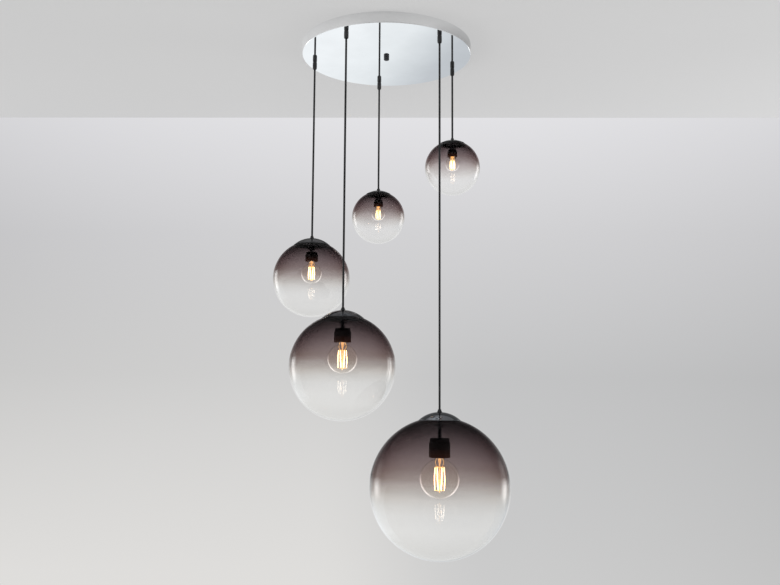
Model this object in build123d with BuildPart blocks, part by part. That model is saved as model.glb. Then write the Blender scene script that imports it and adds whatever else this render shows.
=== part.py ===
from build123d import *
import os
from dataclasses import dataclass
from math import asin, cos, pi, radians, sin, sqrt

# Five smoked glass bubbles hang at stepped heights from one round mirror-finished ceiling canopy.
# Lengths are millimetres.
# The ceiling is the plane z = 0, the canopy's centre is the origin, and everything hangs towards -Z.
# Pendant 1 hangs highest and pendant 5 lowest, in order round the canopy.

os.makedirs("parts", exist_ok=True)

# Clearances
overrun = 1.0
thread_clearance = 0.05
slip_clearance = 0.1
easy_clearance = 0.25
end_gap = 0.3

# Canopy pan: a shallow pressed steel dish with its open side to the ceiling
canopy_diameter = 450.0
canopy_height = 28.0
canopy_wall = 1.5
canopy_edge_radius = 1.2
hole_circle_inset = 25.0
first_hole_angle = 24.0

# M10 x 1 tube thread, its nuts and the machine screws
thread_diameter = 10.0
nut_across_flats = 14.0
nut_thickness = 4.0
nut_chamfer = 0.6
screw_diameter = 4.0
screw_length = 5.5
screw_head_diameter = 8.0
screw_head_height = 2.4
screw_slot_width = 1.2

# Ceiling bracket: a steel strip under the ceiling, with a slot for a ceiling screw near each end
# and a hole that the supply cable comes down through
bracket_length = 200.0
bracket_width = 26.0
bracket_thickness = 3.0
slot_end_margin = 15.0
slot_length = 20.0
slot_width = 5.5
cable_hole_x = -22.0
cable_hole_diameter = 12.0
earth_screw_x = -40.0

# Knob under the canopy, on the centre stud
finial_diameter = 15.0
finial_height = 10.0
finial_thread_depth = 6.0
finial_waist_depth = 0.9

# Terminal block under the bracket
block_centre_x = 38.0
block_length = 40.0
block_width = 22.0
block_height = 14.0
block_edge_radius = 1.0
block_ear_length = 9.0
entry_pitch = 12.0
entry_depth = 6.0
supply_entry_diameter = 8.0

# Round three-core cord
cord_diameter = 5.2
lead_height = 10.0
lead_rise_radius = 12.0

# Leads inside the canopy: the places of their level bends, seen from above, and the bends' radii
lead_1_bend_x = 50.0
lead_1_bend_y = 64.0
lead_1_bend_radius = 27.0
lead_2_bend_x = 38.0
lead_2_bend_y = 70.0
lead_2_bend_radius = 120.0
lead_3_first_bend_x = -24.0
lead_3_first_bend_y = 78.0
lead_3_first_bend_radius = 85.0
lead_3_second_bend_x = 26.0
lead_3_second_bend_y = 62.0
lead_3_second_bend_radius = 30.0
lead_4_bend_x = 26.0
lead_4_bend_y = -62.0
lead_4_bend_radius = 50.0
lead_5_bend_x = 50.0
lead_5_bend_y = -64.0
lead_5_bend_radius = 55.0

# Cord grip: a black barrel under the canopy with a threaded shank through it
grip_diameter = 11.5
grip_length = 20.0
grip_neck_diameter = 9.8
grip_taper = 3.0
grip_shank_above_plate = 5.0
grip_screw_diameter = 3.0
grip_seat_diameter = 8.0
grip_seat_depth = 4.0

# Rubber ring round the cord in the grip's mouth; the cord swings about its centre
seal_centre_above_mouth = 1.0
seal_wire_diameter = 1.1

# Hollow bolt that carries one bubble: it holds the cap, the spring clip and the lampholder together
tube_head_height = 6.0
tube_head_base_diameter = 13.0
tube_head_tip_diameter = 8.0

# Spring clip under the bubble's neck opening
clip_thickness = 1.2
clip_width = 14.0
clip_drop = 5.0
clip_reach = 6.0
clip_hub_diameter = 17.0
clip_hub_height = 5.0

# Bubbles: blown glass balls with a ground round opening at the top
glass_wall = 3.0
small_bubble_diameter = 150.0
middle_bubble_diameter = 203.0
large_bubble_diameter = 255.0
grand_bubble_diameter = 336.0
small_opening_diameter = 58.0
middle_opening_diameter = 80.0
large_opening_diameter = 86.0
grand_opening_diameter = 96.5

# Drops from the canopy's underside to each bubble's centre
drop_1 = 283.0
drop_2 = 399.0
drop_3 = 597.0
drop_4 = 836.0
drop_5 = 1121.0

# Domed caps, and how far each one reaches past its bubble's opening on every side
cap_wall = 1.0
small_cap_overlap = 6.0
small_cap_rise = 11.5
middle_cap_overlap = 8.0
large_cap_overlap = 7.0
grand_cap_overlap = 1.75
wide_cap_rise = 20.0

# Lampholders, and how far each one hangs below its spring clip's hub
holder_collar_step = 2.0
holder_edge = 1.0
contact_plate_thickness = 1.2
small_holder_diameter = 27.0
small_holder_length = 21.0
small_holder_gap = 0.4
middle_holder_diameter = 33.5
middle_holder_length = 25.0
middle_holder_gap = 4.9
large_holder_diameter = 41.0
large_holder_length = 34.0
large_holder_gap = 10.9
grand_holder_diameter = 51.0
grand_holder_length = 46.0
grand_holder_gap = 27.6

# Bulbs, and how far each one's ball centre is below its lampholder's mouth
bulb_wall = 0.8
bulb_neck_fillet = 2.5
small_bulb_diameter = 38.0
small_bulb_drop = 20.2
middle_bulb_diameter = 54.5
middle_bulb_drop = 32.0
large_bulb_diameter = 71.6
large_bulb_drop = 39.0
grand_bulb_diameter = 95.0
grand_bulb_drop = 49.6

# Screw bases: the narrow one is E14 and the wide one E27
narrow_base_diameter = 13.8
narrow_base_length = 17.0
narrow_thread_depth = 0.75
narrow_thread_pitch = 2.8
wide_base_diameter = 26.2
wide_base_length = 27.0
wide_thread_depth = 0.95
wide_thread_pitch = 3.6
base_skirt_length = 4.0
base_socket_depth = 3.2
base_cone_height = 2.6
base_tip_height = 1.4

# Squirrel-cage filaments, and how far each one's foot is below its lampholder's mouth
filament_count = 8
filament_wire = 1.2
spoke_wire = 0.8
stem_diameter = 3.0
small_cage_diameter = 15.5
small_cage_length = 24.0
small_cage_drop = 34.6
small_stem_tip = 2.0
middle_cage_diameter = 19.6
middle_cage_length = 34.0
middle_cage_drop = 48.0
middle_stem_tip = 4.0
large_cage_diameter = 26.0
large_cage_length = 42.0
large_cage_drop = 60.6
large_stem_tip = 5.0
grand_cage_diameter = 29.7
grand_cage_length = 54.5
grand_cage_drop = 76.5
grand_stem_tip = 6.0

# Outlines as shares of the piece's own sizes
finial_waist_share = 0.35
finial_dome_share = 0.25
holder_collar_share = 0.2
hexagon_sides = 6
block_entries = 3

cord_radius = cord_diameter / 2
thread_radius = thread_diameter / 2
thread_hole_radius = thread_radius + thread_clearance
plate_hole_radius = thread_radius + easy_clearance
canopy_radius = canopy_diameter / 2
hole_circle_radius = canopy_radius - hole_circle_inset
slot_spacing = bracket_length - 2 * slot_end_margin
plate_underside = -canopy_height
plate_top = plate_underside + canopy_wall
grip_mouth = plate_underside - grip_length
pivot_height = grip_mouth + seal_centre_above_mouth
lead_bottom = grip_mouth + grip_seat_depth
shank_top = plate_top + grip_shank_above_plate
cord_bore_radius = cord_radius + slip_clearance
tube_bore_radius = cord_radius + easy_clearance
grip_seat_radius = grip_seat_diameter / 2


@dataclass(frozen=True)
class ScrewBase:
    """A lamp's screw base."""

    diameter: float
    length: float
    thread_depth: float
    thread_pitch: float


@dataclass(frozen=True)
class Pendant:
    """The sizes of one hanging bubble, and the heights that its pieces take from each other."""

    number: int
    drop: float
    bubble_diameter: float
    opening_diameter: float
    cap_overlap: float
    cap_rise: float
    holder_diameter: float
    holder_length: float
    holder_gap: float
    bulb_diameter: float
    bulb_drop: float
    base: ScrewBase
    cage_diameter: float
    cage_length: float
    cage_drop: float
    stem_tip: float

    @property
    def angle(self):
        """The direction of the pendant's hole from the canopy's centre, in degrees."""
        return first_hole_angle + 360 / len(drops) * (self.number - 1)

    @property
    def x(self):
        return hole_circle_radius * cos(radians(self.angle))

    @property
    def y(self):
        return hole_circle_radius * sin(radians(self.angle))

    @property
    def centre(self):
        """The height of the bubble's centre."""
        return plate_underside - self.drop

    @property
    def bubble_radius(self):
        return self.bubble_diameter / 2

    @property
    def cap_radius(self):
        return self.opening_diameter / 2 + self.cap_overlap

    @property
    def cap_rim(self):
        """The height at which the cap's rim meets the bubble."""
        return self.centre + sqrt(self.bubble_radius**2 - self.cap_radius**2)

    @property
    def cap_top(self):
        return self.cap_rim + self.cap_rise

    @property
    def clip_tip_reach(self):
        """How far the spring clip's tips are from the axis."""
        return self.opening_diameter / 2 + clip_reach

    @property
    def clip_tip(self):
        """The height of the spring clip's tips, whose corners just clear the glass."""
        glass_radius = self.bubble_radius - glass_wall
        corner_reach = sqrt(self.clip_tip_reach**2 + (clip_width / 2) ** 2)
        return self.centre + sqrt(glass_radius**2 - corner_reach**2) - slip_clearance

    @property
    def clip_flat(self):
        """The height of the spring clip's middle."""
        return self.clip_tip - clip_drop

    @property
    def holder_top(self):
        return self.clip_flat - clip_hub_height - self.holder_gap

    @property
    def holder_mouth(self):
        return self.holder_top - self.holder_length

    @property
    def base_tip(self):
        """The height of the bulb's end contact."""
        return self.holder_mouth + self.base.length

    @property
    def socket_top(self):
        """The height of the lampholder's contact plate."""
        return self.base_tip + end_gap

    @property
    def tube_bottom(self):
        """The tube ends inside the lampholder's top, just above the contact plate."""
        return self.socket_top + contact_plate_thickness + end_gap

    @property
    def bulb_centre(self):
        """The height of the bulb's ball centre."""
        return self.holder_mouth - self.bulb_drop

    @property
    def cage_foot(self):
        return self.holder_mouth - self.cage_drop

    @property
    def neck_radius(self):
        """The bulb's glass neck fits inside the screw base."""
        return self.base.diameter / 2 - self.base.thread_depth - bulb_wall - slip_clearance


drops = [drop_1, drop_2, drop_3, drop_4, drop_5]

narrow_base = ScrewBase(
    narrow_base_diameter, narrow_base_length, narrow_thread_depth, narrow_thread_pitch
)
wide_base = ScrewBase(wide_base_diameter, wide_base_length, wide_thread_depth, wide_thread_pitch)

small_sizes = dict(
    bubble_diameter=small_bubble_diameter,
    opening_diameter=small_opening_diameter,
    cap_overlap=small_cap_overlap,
    cap_rise=small_cap_rise,
    holder_diameter=small_holder_diameter,
    holder_length=small_holder_length,
    holder_gap=small_holder_gap,
    bulb_diameter=small_bulb_diameter,
    bulb_drop=small_bulb_drop,
    base=narrow_base,
    cage_diameter=small_cage_diameter,
    cage_length=small_cage_length,
    cage_drop=small_cage_drop,
    stem_tip=small_stem_tip,
)
middle_sizes = dict(
    bubble_diameter=middle_bubble_diameter,
    opening_diameter=middle_opening_diameter,
    cap_overlap=middle_cap_overlap,
    cap_rise=wide_cap_rise,
    holder_diameter=middle_holder_diameter,
    holder_length=middle_holder_length,
    holder_gap=middle_holder_gap,
    bulb_diameter=middle_bulb_diameter,
    bulb_drop=middle_bulb_drop,
    base=narrow_base,
    cage_diameter=middle_cage_diameter,
    cage_length=middle_cage_length,
    cage_drop=middle_cage_drop,
    stem_tip=middle_stem_tip,
)
large_sizes = dict(
    bubble_diameter=large_bubble_diameter,
    opening_diameter=large_opening_diameter,
    cap_overlap=large_cap_overlap,
    cap_rise=wide_cap_rise,
    holder_diameter=large_holder_diameter,
    holder_length=large_holder_length,
    holder_gap=large_holder_gap,
    bulb_diameter=large_bulb_diameter,
    bulb_drop=large_bulb_drop,
    base=wide_base,
    cage_diameter=large_cage_diameter,
    cage_length=large_cage_length,
    cage_drop=large_cage_drop,
    stem_tip=large_stem_tip,
)
grand_sizes = dict(
    bubble_diameter=grand_bubble_diameter,
    opening_diameter=grand_opening_diameter,
    cap_overlap=grand_cap_overlap,
    cap_rise=wide_cap_rise,
    holder_diameter=grand_holder_diameter,
    holder_length=grand_holder_length,
    holder_gap=grand_holder_gap,
    bulb_diameter=grand_bulb_diameter,
    bulb_drop=grand_bulb_drop,
    base=wide_base,
    cage_diameter=grand_cage_diameter,
    cage_length=grand_cage_length,
    cage_drop=grand_cage_drop,
    stem_tip=grand_stem_tip,
)
kinds = [small_sizes, small_sizes, middle_sizes, large_sizes, grand_sizes]
pendants = [
    Pendant(number=place + 1, drop=drops[place], **kinds[place]) for place in range(len(drops))
]


def save(part, name):
    """Labels a finished piece and writes its file."""
    part.label = name
    export_step(part, f"parts/{name}.step")


def upright(x=0, y=0, z=0):
    """A sketch plane through a vertical axis: its X is the radius and its Y the height."""
    return Plane(origin=(x, y, z), x_dir=(1, 0, 0), z_dir=(0, -1, 0))


def vertical_axis(x=0, y=0):
    return Axis((x, y, 0), (0, 0, 1))


# Canopy
with BuildPart() as canopy_pan:
    with BuildSketch(Plane.XY.offset(plate_underside)):
        Circle(canopy_radius)
    extrude(amount=canopy_height)
    with BuildSketch(Plane.XY.offset(plate_top)):
        Circle(canopy_radius - canopy_wall)
    extrude(amount=canopy_height, mode=Mode.SUBTRACT)
    fillet(canopy_pan.edges().group_by(Axis.Z)[0], canopy_edge_radius)
    with BuildSketch(Plane.XY.offset(plate_underside - overrun)):
        Circle(plate_hole_radius)
        with PolarLocations(hole_circle_radius, len(pendants), start_angle=first_hole_angle):
            Circle(plate_hole_radius)
    extrude(amount=canopy_wall + 2 * overrun, mode=Mode.SUBTRACT)
save(canopy_pan.part, "canopy_pan")

block_half = block_length / 2
ear_screw_offset = block_half + block_ear_length / 2
ear_thickness = screw_length - bracket_thickness + end_gap
block_screw_places = [(block_centre_x - ear_screw_offset, 0), (block_centre_x + ear_screw_offset, 0)]
screw_places = block_screw_places + [(earth_screw_x, 0)]
head_seat = -bracket_thickness - ear_thickness

with BuildPart() as ceiling_bracket:
    with BuildSketch(Plane.XY):
        SlotOverall(bracket_length, bracket_width)
        with Locations((-slot_spacing / 2, 0), (slot_spacing / 2, 0)):
            SlotOverall(slot_length, slot_width, mode=Mode.SUBTRACT)
        Circle(thread_hole_radius, mode=Mode.SUBTRACT)
        with Locations((cable_hole_x, 0)):
            Circle(cable_hole_diameter / 2, mode=Mode.SUBTRACT)
        with Locations(*screw_places):
            Circle(screw_diameter / 2 + thread_clearance, mode=Mode.SUBTRACT)
    extrude(amount=-bracket_thickness)
save(ceiling_bracket.part, "ceiling_bracket")

stud_bottom = plate_underside - finial_thread_depth + end_gap
with BuildPart() as centre_stud:
    with BuildSketch(Plane.XY.offset(-end_gap)):
        Circle(thread_radius)
        Circle(cord_radius, mode=Mode.SUBTRACT)
    extrude(amount=stud_bottom + end_gap)
save(centre_stud.part, "centre_stud")


def hex_nut(x, y, z):
    """One nut whose lower face is at height z."""
    with BuildPart() as nut:
        with BuildSketch(Plane(origin=(x, y, z))):
            RegularPolygon(nut_across_flats / 2, hexagon_sides, major_radius=False)
        extrude(amount=nut_thickness)
        corner_edges = nut.edges().filter_by(Axis.Z, reverse=True)
        chamfer(corner_edges, nut_chamfer)
        with BuildSketch(Plane(origin=(x, y, z - overrun))):
            Circle(thread_hole_radius)
        extrude(amount=nut_thickness + 2 * overrun, mode=Mode.SUBTRACT)
    return nut.part


nuts = [hex_nut(pendant.x, pendant.y, plate_top) for pendant in pendants]
nuts.append(hex_nut(0, 0, -bracket_thickness - nut_thickness))
save(Compound(children=nuts), "hex_nuts")

with BuildPart() as canopy_finial:
    finial_radius = finial_diameter / 2
    finial_bottom = plate_underside - finial_height
    waist_height = plate_underside - finial_height * finial_waist_share
    dome_height = finial_bottom + finial_height * finial_dome_share
    with BuildSketch(upright()):
        with BuildLine():
            Line((0, finial_bottom), (0, plate_underside))
            Line((0, plate_underside), (finial_radius, plate_underside))
            collar_foot = (finial_radius, (plate_underside + waist_height) / 2)
            Line((finial_radius, plate_underside), collar_foot)
            waist = (finial_radius - finial_waist_depth, waist_height)
            shoulder = (finial_radius, waist_height - (collar_foot[1] - waist_height))
            ThreePointArc(collar_foot, waist, shoulder)
            dome_foot = (finial_radius, dome_height)
            Line(shoulder, dome_foot)
            dome_rise = dome_height - finial_bottom
            dome_radius = (finial_radius**2 + dome_rise**2) / (2 * dome_rise)
            half_turn = asin(finial_radius / dome_radius) / 2
            dome_middle = (
                dome_radius * sin(half_turn),
                finial_bottom + dome_radius * (1 - cos(half_turn)),
            )
            ThreePointArc(dome_foot, dome_middle, (0, finial_bottom))
        make_face()
    revolve(axis=Axis.Z)
    with BuildSketch(Plane.XY.offset(plate_underside + overrun)):
        Circle(thread_hole_radius)
    extrude(amount=-finial_thread_depth - overrun, mode=Mode.SUBTRACT)
save(canopy_finial.part, "canopy_finial")

# Terminal block and its screws
entry_places = [
    block_centre_x + entry_pitch * (slot - (block_entries - 1) / 2) for slot in range(block_entries)
]
with BuildPart() as terminal_block:
    with BuildSketch(Plane.XY.offset(-bracket_thickness)):
        with Locations((block_centre_x, 0)):
            Rectangle(block_length, block_width)
    extrude(amount=-block_height)
    fillet(terminal_block.edges().filter_by(Axis.Z), block_edge_radius)
    fillet(terminal_block.edges().group_by(Axis.Z)[0], block_edge_radius)
    with BuildSketch(Plane.XY.offset(-bracket_thickness)):
        with Locations((block_centre_x, 0)):
            SlotOverall(block_length + 2 * block_ear_length, screw_head_diameter + 2 * block_edge_radius)
    extrude(amount=-ear_thickness)
    with BuildSketch(Plane.XY.offset(-bracket_thickness + overrun)):
        with Locations(*block_screw_places):
            Circle(screw_diameter / 2 + slip_clearance)
    extrude(amount=-ear_thickness - 2 * overrun, mode=Mode.SUBTRACT)
    for side in (-1, 1):
        for number, entry_x in enumerate(entry_places):
            is_supply = side == -1 and number == 1
            entry_radius = supply_entry_diameter / 2 if is_supply else cord_bore_radius
            mouth = Plane(origin=(entry_x, side * block_width / 2, -lead_height), z_dir=(0, -side, 0))
            with BuildSketch(mouth):
                Circle(entry_radius)
            extrude(amount=entry_depth, mode=Mode.SUBTRACT)
save(terminal_block.part, "terminal_block")


def machine_screw(x, y):
    """One pan head screw, driven upwards."""
    with BuildPart() as screw:
        with BuildSketch(Plane(origin=(x, y, head_seat))):
            Circle(screw_diameter / 2)
        extrude(amount=screw_length)
        with BuildSketch(Plane(origin=(x, y, head_seat))):
            Circle(screw_head_diameter / 2)
        extrude(amount=-screw_head_height)
        fillet(screw.edges().group_by(Axis.Z)[0], screw_head_height / 3)
        with BuildSketch(Plane(origin=(x, y, head_seat - screw_head_height))):
            Rectangle(screw_head_diameter, screw_slot_width)
        extrude(amount=screw_head_height / 2, mode=Mode.SUBTRACT)
    return screw.part


save(Compound(children=[machine_screw(*place) for place in screw_places]), "machine_screws")


# Cord grips
def cord_grip(pendant):
    """A barrel that tapers at both ends, a threaded shank above it and a bore for the cord."""
    barrel_radius = grip_diameter / 2
    neck_radius = grip_neck_diameter / 2
    with BuildPart() as grip:
        with BuildSketch(upright(pendant.x, pendant.y)):
            with BuildLine():
                Polyline(
                    (cord_bore_radius, shank_top),
                    (thread_radius, shank_top),
                    (thread_radius, plate_underside),
                    (barrel_radius, plate_underside - grip_taper),
                    (barrel_radius, grip_mouth + grip_taper),
                    (neck_radius, grip_mouth),
                    (grip_seat_radius, grip_mouth),
                    (grip_seat_radius, grip_mouth + grip_seat_depth),
                    (cord_bore_radius, grip_mouth + grip_seat_depth),
                    close=True,
                )
            make_face()
        revolve(axis=vertical_axis(pendant.x, pendant.y))
        with BuildSketch(grip_screw_plane(pendant)):
            Circle(grip_screw_diameter / 2 + thread_clearance)
        extrude(amount=barrel_radius, mode=Mode.SUBTRACT)
    return grip.part


def grip_screw_plane(pendant):
    """Faces inwards from the grip's axis to the canopy's centre, half way down the barrel."""
    inward = (-cos(radians(pendant.angle)), -sin(radians(pendant.angle)), 0)
    return Plane(origin=(pendant.x, pendant.y, (plate_underside + grip_mouth) / 2), z_dir=inward)


def grip_screw(pendant):
    """A headless screw through the barrel's wall, with its tip on the cord."""
    screw_length_in_wall = grip_diameter / 2 - cord_radius - end_gap
    with BuildPart() as screw:
        with BuildSketch(grip_screw_plane(pendant).offset(cord_radius)):
            Circle(grip_screw_diameter / 2)
        extrude(amount=screw_length_in_wall)
        outer_end = grip_screw_plane(pendant).offset(cord_radius + screw_length_in_wall)
        with BuildSketch(outer_end):
            RegularPolygon(grip_screw_diameter / 4, hexagon_sides)
        extrude(amount=-screw_length_in_wall / 2, mode=Mode.SUBTRACT)
    return screw.part


save(Compound(children=[cord_grip(pendant) for pendant in pendants]), "cord_grips")
save(Compound(children=[grip_screw(pendant) for pendant in pendants]), "grip_screws")

# Leads inside the canopy, from each grip to its entry in the terminal block
@dataclass(frozen=True)
class LeadPlan:
    """Where one lead enters the block, seen from above: entry number, side and bends before it."""

    entry: int
    side: int
    bends: tuple
    radii: tuple


lead_plans = {
    1: LeadPlan(
        entry=2, side=1, bends=((lead_1_bend_x, lead_1_bend_y),), radii=(lead_1_bend_radius,)
    ),
    2: LeadPlan(
        entry=1, side=1, bends=((lead_2_bend_x, lead_2_bend_y),), radii=(lead_2_bend_radius,)
    ),
    3: LeadPlan(
        entry=0,
        side=1,
        bends=(
            (lead_3_first_bend_x, lead_3_first_bend_y),
            (lead_3_second_bend_x, lead_3_second_bend_y),
        ),
        radii=(lead_3_first_bend_radius, lead_3_second_bend_radius),
    ),
    4: LeadPlan(
        entry=0, side=-1, bends=((lead_4_bend_x, lead_4_bend_y),), radii=(lead_4_bend_radius,)
    ),
    5: LeadPlan(
        entry=2, side=-1, bends=((lead_5_bend_x, lead_5_bend_y),), radii=(lead_5_bend_radius,)
    ),
}


def lead_route(pendant, plan):
    """The points of one lead: up out of the grip, level across the canopy and into the block."""
    inside_block = plan.side * (block_width / 2 - entry_depth + end_gap)
    return [
        (pendant.x, pendant.y, lead_bottom),
        (pendant.x, pendant.y, -lead_height),
        *[(x, y, -lead_height) for x, y in plan.bends],
        (entry_places[plan.entry], inside_block, -lead_height),
    ]


leads = []
for pendant in pendants:
    plan = lead_plans[pendant.number]
    radii = [lead_rise_radius, *plan.radii]
    with BuildPart() as lead:
        with BuildLine() as lead_path:
            FilletPolyline(*lead_route(pendant, plan), radius=radii)
        with BuildSketch(Plane(origin=lead_path.line @ 0, z_dir=lead_path.line % 0)):
            Circle(cord_radius)
        sweep(path=lead_path.wires()[0])
    leads.append(lead.part)
    expected = pi * cord_radius**2 * lead_path.wires()[0].length
    print(f"inner lead {pendant.number}: length {lead_path.wires()[0].length:.1f}, radii {radii}")
    print(f"  volume over section times length {lead.part.volume / expected:.4f}")
save(Compound(children=leads), "inner_leads")


# The pieces of one pendant
def grip_seal(pendant):
    """A rubber ring round the cord inside the grip's mouth."""
    wire_radius = seal_wire_diameter / 2
    ring_radius = grip_seat_radius - thread_clearance - wire_radius
    with BuildPart() as seal:
        with BuildSketch(upright(pendant.x, pendant.y)):
            with Locations((ring_radius, pivot_height)):
                Circle(wire_radius)
        revolve(axis=vertical_axis(pendant.x, pendant.y))
    return seal.part


def cord(pendant):
    """A straight cord with a ball end in the grip's mouth, down to the lampholder."""
    with BuildPart() as hanging_cord:
        with BuildSketch(upright(pendant.x, pendant.y)):
            with BuildLine():
                top = (0, pivot_height + cord_radius)
                side = (cord_radius, pivot_height)
                middle = (cord_radius * sin(pi / 4), pivot_height + cord_radius * cos(pi / 4))
                ThreePointArc(top, middle, side)
                Polyline(side, (cord_radius, pendant.tube_bottom), (0, pendant.tube_bottom), top)
            make_face()
        revolve(axis=vertical_axis(pendant.x, pendant.y))
    print(f"cord {pendant.number}: length {pivot_height - pendant.tube_bottom:.1f}")
    print(f"  free below the grip {grip_mouth - pendant.cap_top - tube_head_height:.1f}")
    return hanging_cord.part


def sphere_point(radius, centre, reach):
    """The point on the upper half of a ball's outline that lies reach away from its axis."""
    return (reach, centre + sqrt(radius**2 - reach**2))


def outline_middle(radius, centre, reach):
    """The point half way along a ball's outline, from its lowest point up to the given reach."""
    turn = (pi - asin(reach / radius)) / 2
    return (radius * sin(turn), centre - radius * cos(turn))


def bubble(pendant):
    """A glass ball shell with a round opening at the top."""
    outer = pendant.bubble_radius
    inner = outer - glass_wall
    centre = pendant.centre
    opening = pendant.opening_diameter / 2
    with BuildPart() as shell:
        with BuildSketch(upright(pendant.x, pendant.y)):
            with BuildLine():
                outer_lip = sphere_point(outer, centre, opening)
                inner_lip = sphere_point(inner, centre, opening)
                ThreePointArc((0, centre - outer), outline_middle(outer, centre, opening), outer_lip)
                Line(outer_lip, inner_lip)
                ThreePointArc(inner_lip, outline_middle(inner, centre, opening), (0, centre - inner))
                Line((0, centre - inner), (0, centre - outer))
            make_face()
        revolve(axis=vertical_axis(pendant.x, pendant.y))
    return shell.part


def cap(pendant):
    """A domed metal cap, ground to sit on the ball, with a hole for the hollow bolt."""
    radius = pendant.cap_radius
    dome_radius = (radius**2 + pendant.cap_rise**2) / (2 * pendant.cap_rise)
    dome_centre = pendant.cap_top - dome_radius
    inner_radius = dome_radius - cap_wall
    half_turn = asin(radius / dome_radius) / 2
    foot = pendant.cap_rim - cap_wall
    with BuildPart() as dome:
        with BuildSketch(upright(pendant.x, pendant.y)):
            with BuildLine():
                dome_top = (0, pendant.cap_top)
                rim = (radius, pendant.cap_rim)
                middle = (
                    dome_radius * sin(half_turn),
                    dome_centre + dome_radius * cos(half_turn),
                )
                ThreePointArc(dome_top, middle, rim)
                inner_reach = radius - cap_wall
                inner_rim = sphere_point(inner_radius, dome_centre, inner_reach)
                inner_turn = asin(inner_reach / inner_radius) / 2
                inner_middle = (
                    inner_radius * sin(inner_turn),
                    dome_centre + inner_radius * cos(inner_turn),
                )
                Polyline(rim, (radius, foot), (inner_reach, foot), inner_rim)
                ThreePointArc(inner_rim, inner_middle, (0, dome_centre + inner_radius))
                Line((0, dome_centre + inner_radius), dome_top)
            make_face()
        revolve(axis=vertical_axis(pendant.x, pendant.y))
        with BuildSketch(Plane(origin=(pendant.x, pendant.y, pendant.cap_top + overrun))):
            Circle(thread_radius + slip_clearance)
        extrude(amount=-2 * overrun - cap_wall, mode=Mode.SUBTRACT)
        with Locations((pendant.x, pendant.y, pendant.centre)):
            Sphere(pendant.bubble_radius + thread_clearance, mode=Mode.SUBTRACT)
    return dome.part


def tube(pendant):
    """A hollow bolt with a cone-shaped head on top of the cap."""
    head_top = pendant.cap_top + tube_head_height
    with BuildPart() as hollow_bolt:
        with BuildSketch(upright(pendant.x, pendant.y)):
            with BuildLine():
                Polyline(
                    (tube_bore_radius, head_top),
                    (tube_head_tip_diameter / 2, head_top),
                    (tube_head_base_diameter / 2, pendant.cap_top),
                    (thread_radius, pendant.cap_top),
                    (thread_radius, pendant.tube_bottom),
                    (tube_bore_radius, pendant.tube_bottom),
                    close=True,
                )
            make_face()
        revolve(axis=vertical_axis(pendant.x, pendant.y))
    return hollow_bolt.part


def spring_clip(pendant):
    """A bent strip whose two tips press up under the bubble's opening, with a threaded hub."""
    tip_reach = pendant.clip_tip_reach
    tip = pendant.clip_tip
    flat_reach = clip_hub_diameter / 2
    flat = pendant.clip_flat
    with BuildPart() as clip:
        with BuildSketch(upright(pendant.x, pendant.y)):
            with BuildLine():
                Polyline(
                    (-tip_reach, tip),
                    (-flat_reach, flat),
                    (flat_reach, flat),
                    (tip_reach, tip),
                    (tip_reach, tip - clip_thickness),
                    (flat_reach, flat - clip_thickness),
                    (-flat_reach, flat - clip_thickness),
                    (-tip_reach, tip - clip_thickness),
                    close=True,
                )
            make_face()
        extrude(amount=clip_width / 2, both=True)
        with BuildSketch(Plane(origin=(pendant.x, pendant.y, flat))):
            Circle(clip_hub_diameter / 2)
        extrude(amount=-clip_hub_height)
        with BuildSketch(Plane(origin=(pendant.x, pendant.y, flat + overrun))):
            Circle(thread_hole_radius)
        extrude(amount=-clip_hub_height - 2 * overrun, mode=Mode.SUBTRACT)
    return clip.part


def lampholder(pendant):
    """A round holder with a narrower shoulder, a threaded top and a socket under a contact plate."""
    radius = pendant.holder_diameter / 2
    top = pendant.holder_top
    collar_foot = top - pendant.holder_length * holder_collar_share
    socket_radius = pendant.base.diameter / 2 + slip_clearance
    thread_foot = pendant.socket_top + contact_plate_thickness
    with BuildPart() as holder:
        with BuildSketch(upright(pendant.x, pendant.y)):
            with BuildLine():
                Polyline(
                    (thread_hole_radius, top),
                    (radius - holder_collar_step - holder_edge, top),
                    (radius - holder_collar_step, top - holder_edge),
                    (radius - holder_collar_step, collar_foot),
                    (radius, collar_foot - holder_collar_step),
                    (radius, pendant.holder_mouth + holder_edge),
                    (radius - holder_edge, pendant.holder_mouth),
                    (socket_radius, pendant.holder_mouth),
                    (socket_radius, pendant.socket_top),
                    (0, pendant.socket_top),
                    (0, thread_foot),
                    (thread_hole_radius, thread_foot),
                    close=True,
                )
            make_face()
        revolve(axis=vertical_axis(pendant.x, pendant.y))
    return holder.part


def screw_base(pendant):
    """A metal screw base: a skirt with a socket for the glass, round threads, a cone and a tip."""
    base = pendant.base
    outer = base.diameter / 2
    root = outer - base.thread_depth
    bottom = pendant.holder_mouth
    cone_foot = pendant.base_tip - base_tip_height - base_cone_height
    turns = int((cone_foot - bottom - base_skirt_length) / base.thread_pitch)
    thread_foot = cone_foot - turns * base.thread_pitch
    contact_radius = root / 3
    neck_bore = pendant.neck_radius + thread_clearance
    with BuildPart() as shell:
        with BuildSketch(upright(pendant.x, pendant.y)):
            with BuildLine():
                Polyline(
                    (0, bottom + base_socket_depth),
                    (neck_bore, bottom + base_socket_depth),
                    (neck_bore, bottom),
                    (outer, bottom),
                    (outer, thread_foot - base.thread_depth),
                    (root, thread_foot),
                )
                for turn in range(turns):
                    foot = thread_foot + turn * base.thread_pitch
                    ThreePointArc(
                        (root, foot),
                        (outer, foot + base.thread_pitch / 2),
                        (root, foot + base.thread_pitch),
                    )
                Polyline(
                    (root, cone_foot),
                    (contact_radius, cone_foot + base_cone_height),
                    (contact_radius, pendant.base_tip),
                    (0, pendant.base_tip),
                    (0, bottom + base_socket_depth),
                )
            make_face()
        revolve(axis=vertical_axis(pendant.x, pendant.y))
    return shell.part


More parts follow.
